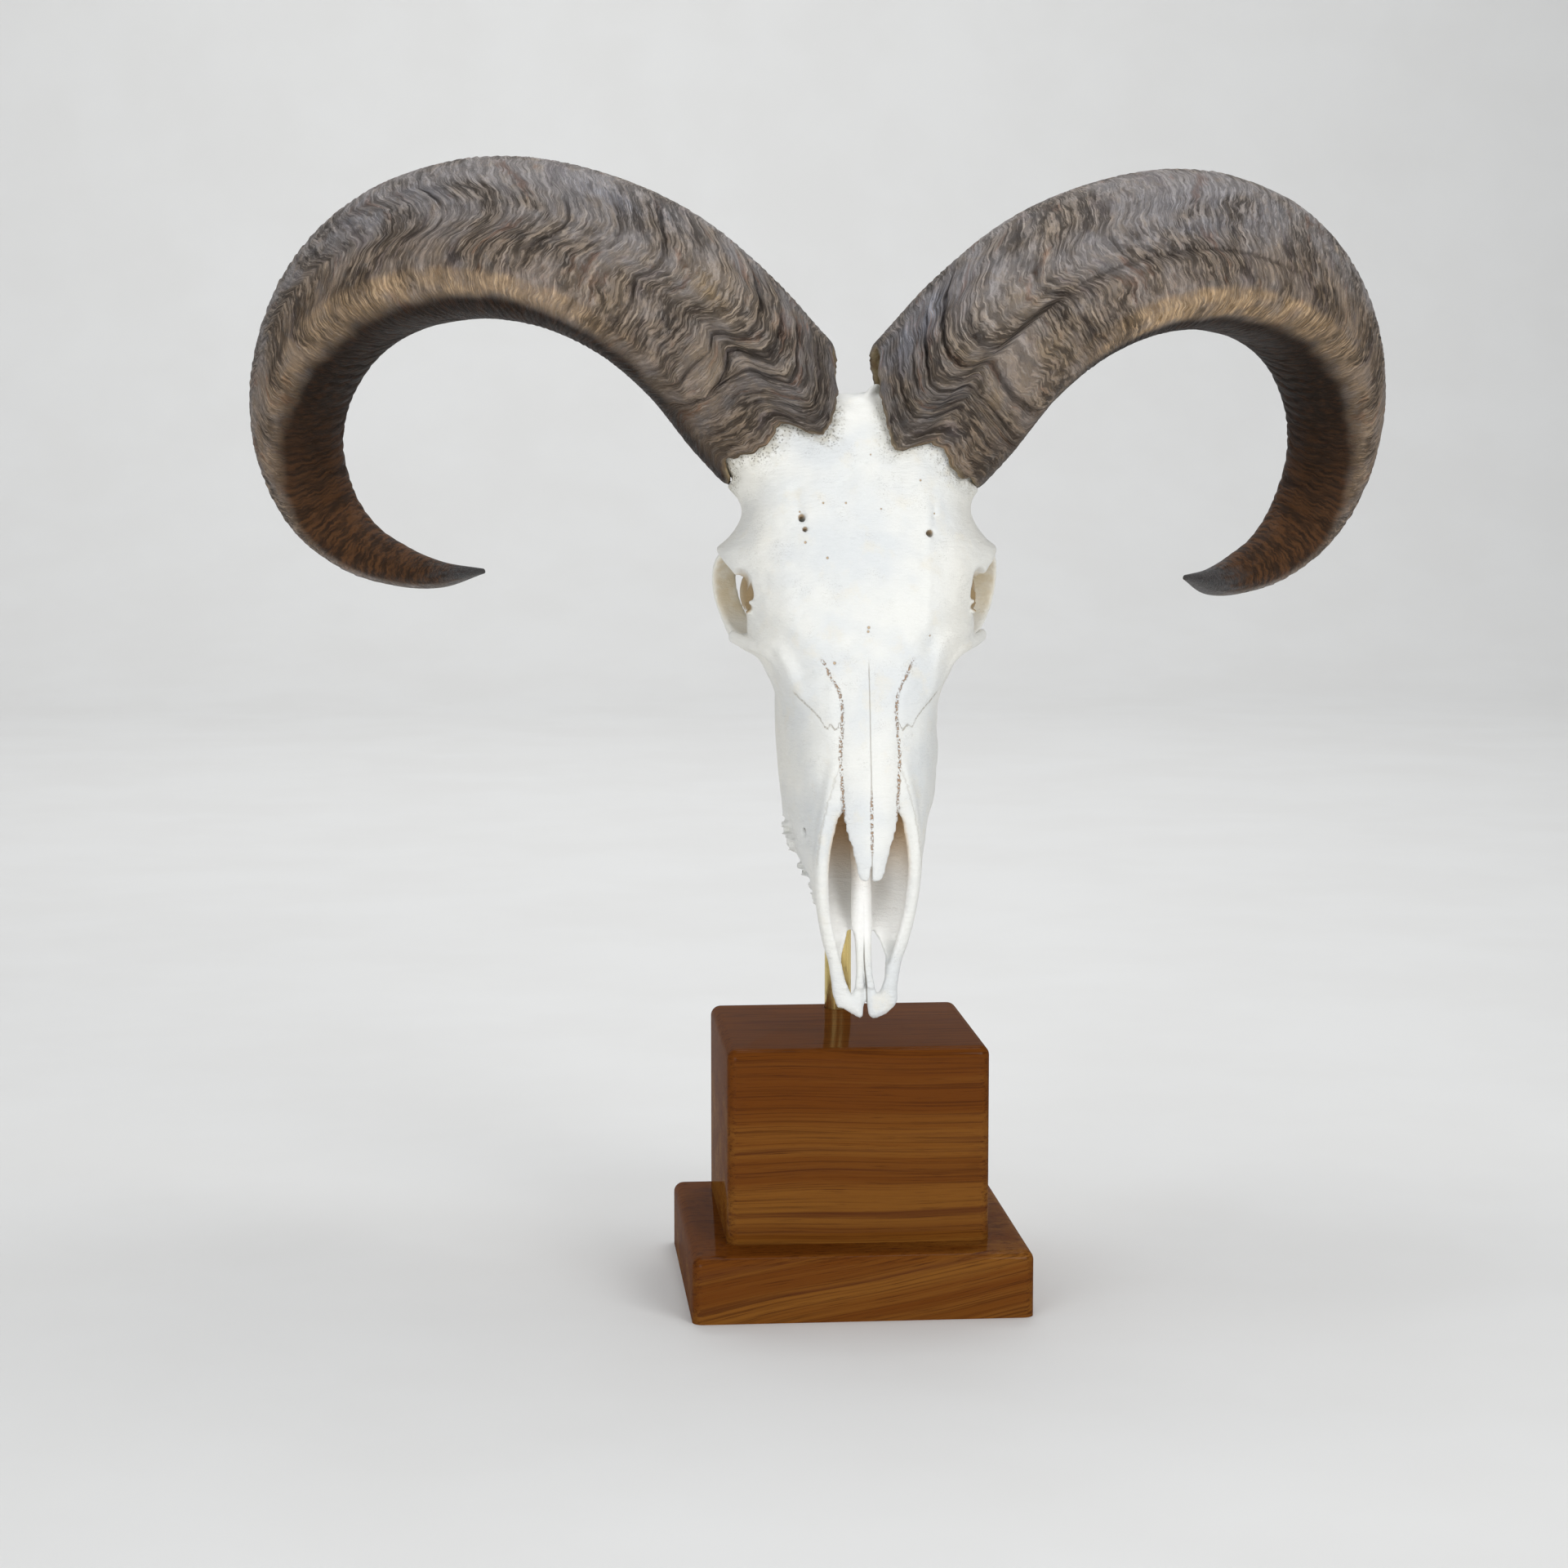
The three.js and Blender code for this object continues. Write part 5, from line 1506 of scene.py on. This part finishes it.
# Pieces
def zone_values(field, points):
    """Masks of the nasal cavity, the eye sockets, the stained bone by the horns and the painted shade in each
    socket's front notch, for each point.
    """
    y, z = points[:, 1], points[:, 2]
    cavity = 1 - step_between(0.3, 2.2, field.sampled(field.cavity, points))
    cavity *= np.maximum(step_between(-44, -36, y), step_between(110, 116, z)) * step_between(28, 40, z)
    socket = 1 - step_between(0.3, 2.2, field.sampled(field.socket, points))
    socket *= 1 - 0.9 * step_between(188, 177, z)
    away = np.abs(points[:, 0])
    # Painted shade: tan-brown in the shaded notch and recess at each socket's inner front edge
    painted_notch_shade = np.exp(-(((away - 50.5) / 6) ** 4) - ((z - 194) / 10) ** 4)
    painted_notch_shade *= step_between(-1, 4, y) * step_between(34, 24, y)
    notch = 1 - step_between(0.6, 1.6, np.abs(oval_gap((away - 55.9, y + 4, z - 193.5), (6, 7, 8))))
    painted_notch_shade = np.maximum(painted_notch_shade, notch * step_between(-6.5, -4, y) * step_between(57, 54, away))
    stain = 1 - step_between(0.5, 11, field.sampled(field.seat, points))
    stain *= np.where(points[:, 0] < 0, 1, 0.55) * step_between(60, 30, y)
    return np.stack([cavity, socket, stain, painted_notch_shade], -1)


def add_core(side, rows=14, columns=48):
    """The upper part of the bone core, hidden in the sheath."""
    form = HornForm(side)
    angle = np.arange(columns) * 360 / columns
    share, angle = np.meshgrid(np.linspace(0, 1, rows), angle, indexing="ij")
    lowest = np.maximum(form.rim(angle) + 6, 24)
    distance = lowest + (form.start + 104 - lowest) * share
    inset = np.full(distance.shape, WALL + GAP + 0.8)
    points, quads, caps = closed_tube(form.point(distance, angle, inset, hollow_taper(form, distance)))
    return new_object(f"horn_core_{side}", to_world(points), quads, caps)


class MOUNT_OT_skull(bpy.types.Operator):
    """Models the skull and its horn cores and gives them their bone finish"""

    bl_idname = "mount.skull"
    bl_label = "Skull"

    def execute(self, context):
        settings = context.scene.mount_bone
        field = skull_field(settings.grid)
        points, quads = field.skin()
        points = relax(points, quads, 2)
        points[:, 0] -= sideways(points)
        if inside_volume(points, quads) < 0:
            quads = quads[:, ::-1]
        skull = new_object("skull_bone", to_world(points), quads)
        if len(quads) > SKULL_FACES_MOST:
            thin = skull.modifiers.new("thin", "DECIMATE")
            thin.ratio = SKULL_FACES_MOST / len(quads)
            select_only(skull)
            bpy.ops.object.modifier_apply(modifier=thin.name)
        select_only(skull, add_core("left"), add_core("right"))
        bpy.ops.object.join()
        head = (points_of(skull) * 1000 - HEAD_AT) / HEAD_SCALE
        head[:, 0] += sideways(head)
        point_values(skull, "zones", zone_values(field, head))
        skull.data.shade_smooth()
        finish_piece(skull, bone_finish(settings), "bone", "skull")
        return {"FINISHED"}


class MOUNT_OT_teeth(bpy.types.Operator):
    """Models one cheek tooth and sets copies of it along both jaws"""

    bl_idname = "mount.teeth"
    bl_label = "Cheek teeth"

    def execute(self, context):
        deselect_all()
        bpy.ops.mesh.primitive_cube_add(size=1, location=(0, 0, 0))
        tooth = context.object
        tooth.name = "cheek_tooth"
        bpy.ops.object.mode_set(mode="EDIT")
        bpy.ops.mesh.subdivide(number_cuts=3)
        bpy.ops.object.mode_set(mode="OBJECT")
        for vertex in tooth.data.vertices:
            x, y, z = vertex.co
            if y > 0.45:
                crest = 0.1 * math.cos(4 * math.pi * z) - 0.16 * math.exp(-((x / 0.16) ** 2))
                vertex.co.y += crest
            pinch = 1 - 0.14 * math.exp(-((z / 0.12) ** 2))
            vertex.co.x *= pinch * (1 + 0.12 * y)
        soft = tooth.modifiers.new("soft", "SUBSURF")
        soft.levels = soft.render_levels = 1
        select_only(tooth)
        bpy.ops.object.modifier_apply(modifier=soft.name)
        start, end = (np.array(place, float) for place in TOOTH_ROW)
        row = []
        for height, length, half in TEETH:
            foot = start + (end - start) * (height - start[2]) / (end[2] - start[2])
            for side in (1, -1):
                copy = tooth.copy()
                copy.data = tooth.data.copy()
                context.scene.collection.objects.link(copy)
                lean, out = TOOTH_LEAN, TOOTH_OUT
                inward = 3.5 * (1 - min((height - 77) / 50, 1)) + (1.5 if side < 0 else 0)
                for vertex in copy.data.vertices:
                    x, y, z = vertex.co
                    x, y, z = x * 2 * half * 0.92, (y + 0.5) * TOOTH_DEPTH - TOOTH_ROOT, z * length
                    y, z = y * math.cos(lean) - z * math.sin(lean), y * math.sin(lean) + z * math.cos(lean)
                    x, y = x * math.cos(out) - y * math.sin(out), x * math.sin(out) + y * math.cos(out)
                    spot = np.array(((x + foot[0] - inward) * side, y + foot[1], z + foot[2]))
                    spot[0] -= sideways(spot[None])[0]
                    vertex.co = Vector(to_world(spot))
                if side < 0:
                    copy.data.flip_normals()
                row.append(copy)
        bpy.data.objects.remove(tooth)
        select_only(*row)
        bpy.ops.object.join()
        teeth = context.object
        teeth.name = "cheek_teeth"
        teeth.data.shade_smooth()
        finish_piece(teeth, enamel_finish(context.scene.mount_bone), "bone", "skull")
        return {"FINISHED"}


class MOUNT_OT_horns(bpy.types.Operator):
    """Models both horn sheaths from their growth lines and gives them their horn finish"""

    bl_idname = "mount.horns"
    bl_label = "Horn sheaths"

    def execute(self, context):
        settings = context.scene.mount_horn
        rows, columns = settings.rows, settings.columns
        finish = horn_finish(settings)
        for side in ("left", "right"):
            (points, quads, caps), data = horn_mesh(side, rows, columns)
            horn = new_object(f"{side}_horn_sheath", to_world(points), quads, caps)
            grown, angle, distance = data["grown"], data["angle"], data["distance"]
            turn = np.radians(angle)
            around = (PATTERN_RADIUS * np.cos(turn), PATTERN_RADIUS * np.sin(turn))
            keel, under, tip, sheen, painted_swell_highlight, warmth = horn_tints(side, grown, angle, distance)
            inner, groove = rim_band(side, grown, data["hidden"]), groove_shade(side, grown, angle, distance)
            point_values(horn, "growth", np.stack([grown, *around], -1))
            point_values(horn, "relief", data["relief"])
            point_values(horn, "tints", np.stack([keel, under, tip, np.ones(len(keel))], -1))
            point_values(horn, "painted_swell_highlight", painted_swell_highlight)
            point_values(horn, "warmth", warmth)
            point_values(horn, "marks", np.stack([sheen, inner, groove], -1))
            finish_piece(horn, finish, "horn", f"{side}_horn")
        return {"FINISHED"}


def horn_tints(side, grown, angle, distance):
    """Where a horn is yellow along its keel, painted in shade beneath, grey at its tip, painted with a silvery
    sheen, painted tan as highlight on its swellings, and brown.
    """
    mottle = patchy(grown / 9, (angle % 360) / 12, 31, 30)
    broken = np.clip(0.75 + 0.9 * patchy(grown / 7, (angle % 360) / 8, 32, 45), 0, 1)
    turn = angle % 360
    signed = (angle + 180) % 360 - 180
    # shine is a painted sheen: silvery highlight patches on each horn
    if side == "left":
        centre = np.interp(distance, (80, 260, 340, 400), (94, 95.5, 98, 96))
        half = 5
        reach = step_between(88, 130, distance) * (1 - step_between(240, 400, distance))
        shine = np.exp(-(((distance - 146) / 26) ** 2)) * bump(angle, 3, 12)
        shine += 0.5 * np.exp(-(((distance - 240) / 40) ** 2)) * bump(angle, 30, 25)
        tip_from = 515
    else:
        centre = np.interp(distance, (90, 140, 180, 240, 320), (95, 95, 98, 105, 105))
        half = np.interp(distance, (90, 140, 180, 240, 320), (3, 4, 6, 7, 6))
        reach = step_between(80, 150, distance) * (1 - 0.85 * step_between(235, 350, distance))
        shine = np.exp(-(((distance - 62) / 34) ** 2)) * bump(angle, -4, 15) * (0.45 + 0.9 * broken)
        shine += 0.6 * np.exp(-(((distance - 190) / 45) ** 2)) * bump(angle, 35, 30)
        tip_from = 488
    border = np.interp(distance, *UNDERSIDE[side]) + 3 * mottle
    keel = step_between(centre - half - 5, centre - half + 1, turn)
    keel *= 1 - step_between(border - 5, border + 5, turn)
    keel *= reach * (0.35 + 0.65 * broken) * (0.75 if side == "left" else 1)
    soft = np.interp(distance, (60, 130, 200, 320), (16, 8, 7, 15))
    # Painted shade beneath the border angle
    under = step_between(border - soft, border + soft, turn) * (1 - step_between(215, 262, turn))
    tip = step_between(tip_from, tip_from + 45, distance + 12 * mottle)
    # Painted highlight: tan on the raised swellings
    painted_swell_highlight = np.zeros(np.shape(grown))
    for at, middle, height, spread, width in HORN_SWELLS[side]:
        here = np.exp(-(((distance - at) / (0.8 * spread)) ** 2)) * bump(angle, middle, 0.8 * width)
        painted_swell_highlight += max(height, 0) / 2.2 * here * broken
    warmth = step_between(35, 85, signed) * (0.55 + 0.45 * step_between(160, 330, distance))
    warmth *= 0.6 + 0.4 * broken
    masks = (keel, under, tip, shine * (0.8 + 0.4 * mottle), painted_swell_highlight, warmth)
    return tuple(np.clip(mask, 0, 1) for mask in masks)


def rim_band(side, grown, hidden):
    """The bare rim and the inside of a sheath."""
    edge = 1 - step_between(0.3, 1.8, grown - min(GROWTH_LINES[side]))
    return np.maximum(edge * 0.35, hidden)


class MOUNT_OT_rod(bpy.types.Operator):
    """Models the brass rod with its eased ends"""

    bl_idname = "mount.rod"
    bl_label = "Brass rod"

    def execute(self, context):
        low, high = (np.array(corner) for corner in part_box("rod"))
        middle, size = (low + high) / 2, high - low
        deselect_all()
        bpy.ops.mesh.primitive_cylinder_add(vertices=96, radius=size[0] / 2, depth=size[2], location=middle)
        rod = context.object
        rod.name = "brass_rod"
        bpy.ops.object.mode_set(mode="EDIT")
        bpy.ops.mesh.select_all(action="DESELECT")
        bpy.ops.object.mode_set(mode="OBJECT")
        for polygon in rod.data.polygons:
            polygon.select = abs(polygon.normal.z) > 0.9
        bpy.ops.object.mode_set(mode="EDIT")
        bpy.ops.mesh.bevel(offset=0.0006, segments=3, affect="EDGES")
        bpy.ops.object.mode_set(mode="OBJECT")
        settle(rod)
        bpy.ops.object.shade_smooth_by_angle(angle=math.radians(40))
        finish_piece(rod, brass_finish(context.scene.mount_base), "brass", "rod")
        return {"FINISHED"}


def wooden_piece(name, node, settings):
    """A square piece with rounded upright edges and a rounded top edge."""
    low, high = (np.array(corner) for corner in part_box(node))
    deselect_all()
    bpy.ops.mesh.primitive_cube_add(size=1, location=(low + high) / 2, scale=high - low)
    piece = bpy.context.object
    piece.name = name
    settle(piece)
    for edges, rounding in (("upright", settings.corner), ("top", settings.top_edge)):
        for part in (*piece.data.vertices, *piece.data.polygons):
            part.select = False
        for edge in piece.data.edges:
            a, b = (piece.data.vertices[v].co for v in edge.vertices)
            upright = abs(a.z - b.z) > 0.01
            top = min(a.z, b.z) > high[2] - 1e-5
            edge.select = upright if edges == "upright" else top
        bpy.context.tool_settings.mesh_select_mode = (False, True, False)
        bpy.ops.object.mode_set(mode="EDIT")
        bpy.ops.mesh.bevel(offset=rounding, segments=8, affect="EDGES")
        bpy.ops.mesh.select_all(action="DESELECT")
        bpy.ops.object.mode_set(mode="OBJECT")
    return piece


class MOUNT_OT_base(bpy.types.Operator):
    """Models the lacquered block and plinth"""

    bl_idname = "mount.base"
    bl_label = "Wooden base"

    def execute(self, context):
        settings = context.scene.mount_base
        grain = wood_grain_group()
        for name, node, turn in (("wooden_block", "block", 0.0), ("wooden_plinth", "plinth", 0.2)):
            piece = wooden_piece(name, node, settings)
            if node == "block":
                rod_low, rod_high = (np.array(corner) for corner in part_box("rod"))
                bpy.ops.mesh.primitive_cylinder_add(
                    vertices=96,
                    radius=(rod_high - rod_low)[0] / 2 + BORE_GAP,
                    depth=BORE_DEPTH,
                    location=((rod_low + rod_high) / 2)[:2].tolist() + [rod_low[2] + BORE_DEPTH / 2],
                )
                drill = context.object
                bore = piece.modifiers.new("bore", "BOOLEAN")
                bore.object = drill
                bore.operation = "DIFFERENCE"
                select_only(piece)
                bpy.ops.object.modifier_apply(modifier=bore.name)
                bpy.data.objects.remove(drill)
            select_only(piece)
            bpy.ops.object.shade_smooth_by_angle(angle=math.radians(35))
            low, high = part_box(node)
            centre = tuple((low[i] + high[i]) * 500 for i in range(3))
            lacquer = wood_finish(name + "_lacquer", settings, grain, (0, turn, 0), centre)
            finish_piece(piece, lacquer, "wood", node)
        return {"FINISHED"}


class MOUNT_OT_stage(bpy.types.Operator):
    """Sets the floor, the soft lights and the camera"""

    bl_idname = "mount.stage"
    bl_label = "Stage"

    def execute(self, context):
        settings = context.scene.mount_stage
        deselect_all()
        bpy.ops.mesh.primitive_plane_add(size=9, location=(0, -1.6, 0))
        floor = context.object
        floor.name = "studio_floor"
        settle(floor)
        for polygon in floor.data.polygons:
            polygon.select = False
        for edge in floor.data.edges:
            edge.select = all(floor.data.vertices[v].co.y > 0 for v in edge.vertices)
        bpy.ops.object.mode_set(mode="EDIT")
        bpy.ops.mesh.select_mode(type="EDGE")
        rise, steps, wall = 1.1, 16, 2.6
        for step in range(steps + 1):
            start, end = (math.pi / 2 * (step + i) / steps for i in (0, 1))
            move = (0, rise * (math.sin(end) - math.sin(start)), rise * (math.cos(start) - math.cos(end)))
            move = (0, 0, wall) if step == steps else move
            bpy.ops.mesh.extrude_region_move(TRANSFORM_OT_translate={"value": move})
        bpy.ops.object.mode_set(mode="OBJECT")
        floor.data.shade_smooth()
        floor.data.materials.append(floor_finish(settings))
        head = Vector((0.0, 0.03, 0.33))
        lights = (
            ("key", settings.key_light, 0.9, (0.92, -1.68, 0.9), head),
            ("fill", settings.fill_light, 1.1, (-1.15, -1.65, 0.45), head),
            ("top", settings.top_light, 0.9, (0.1, 0.35, 1.7), head),
            ("backdrop", settings.backdrop_light, 1.6, (0, 1.6, 2.6), Vector((0, 3.6, 0.9))),
        )
        for name, power, size, place, target in lights:
            lamp = bpy.data.lights.new(name, "AREA")
            lamp.energy, lamp.size = power, size
            light = bpy.data.objects.new(name, lamp)
            light.location = place
            light.rotation_euler = (target - Vector(place)).to_track_quat("-Z", "Y").to_euler()
            light.visible_camera = False
            context.scene.collection.objects.link(light)
        world = bpy.data.worlds.new("studio")
        world.use_nodes = True
        background = world.node_tree.nodes["Background"]
        background.inputs["Color"].default_value = (0.92, 0.94, 0.97, 1)
        background.inputs["Strength"].default_value = settings.surround
        context.scene.world = world
        lens = bpy.data.cameras.new("photo_camera")
        lens.lens, lens.sensor_width, lens.sensor_fit = PHOTO_LENS, 36, "HORIZONTAL"
        lens.clip_start, lens.clip_end = 0.05, 50
        camera = bpy.data.objects.new("photo_camera", lens)
        camera.location = CAMERA_AT
        camera.rotation_euler = (math.pi / 2 - LOOK_DOWN, 0, -LOOK_RIGHT)
        context.scene.collection.objects.link(camera)
        context.scene.camera = camera
        context.scene.view_settings.view_transform = "Standard"
        return {"FINISHED"}


class MOUNT_PT_panel(bpy.types.Panel):
    """Lists the mount's pieces and settings"""

    bl_idname = "MOUNT_PT_panel"
    bl_label = "Skull mount"
    bl_space_type = "VIEW_3D"
    bl_region_type = "UI"
    bl_category = "Skull mount"

    def draw(self, context):
        for group, operators in GROUPS.items():
            box = self.layout.box()
            for operator in operators:
                box.operator(operator.bl_idname)
            settings = getattr(context.scene, group)
            for key in settings.bl_rna.properties.keys():
                if key not in ("rna_type", "name"):
                    box.prop(settings, key)


GROUPS = {
    "mount_bone": (MOUNT_OT_skull, MOUNT_OT_teeth),
    "mount_horn": (MOUNT_OT_horns,),
    "mount_base": (MOUNT_OT_rod, MOUNT_OT_base),
    "mount_stage": (MOUNT_OT_stage,),
}
SETTINGS = {
    "mount_bone": MountBoneSettings,
    "mount_horn": MountHornSettings,
    "mount_base": MountBaseSettings,
    "mount_stage": MountStageSettings,
}


def register():
    for group, settings in SETTINGS.items():
        bpy.utils.register_class(settings)
        setattr(bpy.types.Scene, group, bpy.props.PointerProperty(type=settings))
    for operators in GROUPS.values():
        for operator in operators:
            bpy.utils.register_class(operator)
    bpy.utils.register_class(MOUNT_PT_panel)


def unregister():
    bpy.utils.unregister_class(MOUNT_PT_panel)
    for operators in GROUPS.values():
        for operator in operators:
            bpy.utils.unregister_class(operator)
    for group, settings in SETTINGS.items():
        delattr(bpy.types.Scene, group)
        bpy.utils.unregister_class(settings)


def main():
    register()
    bpy.ops.mount.skull()
    bpy.ops.mount.teeth()
    bpy.ops.mount.horns()
    bpy.ops.mount.rod()
    bpy.ops.mount.base()
    bpy.ops.mount.stage()


if __name__ == "__main__":
    main()
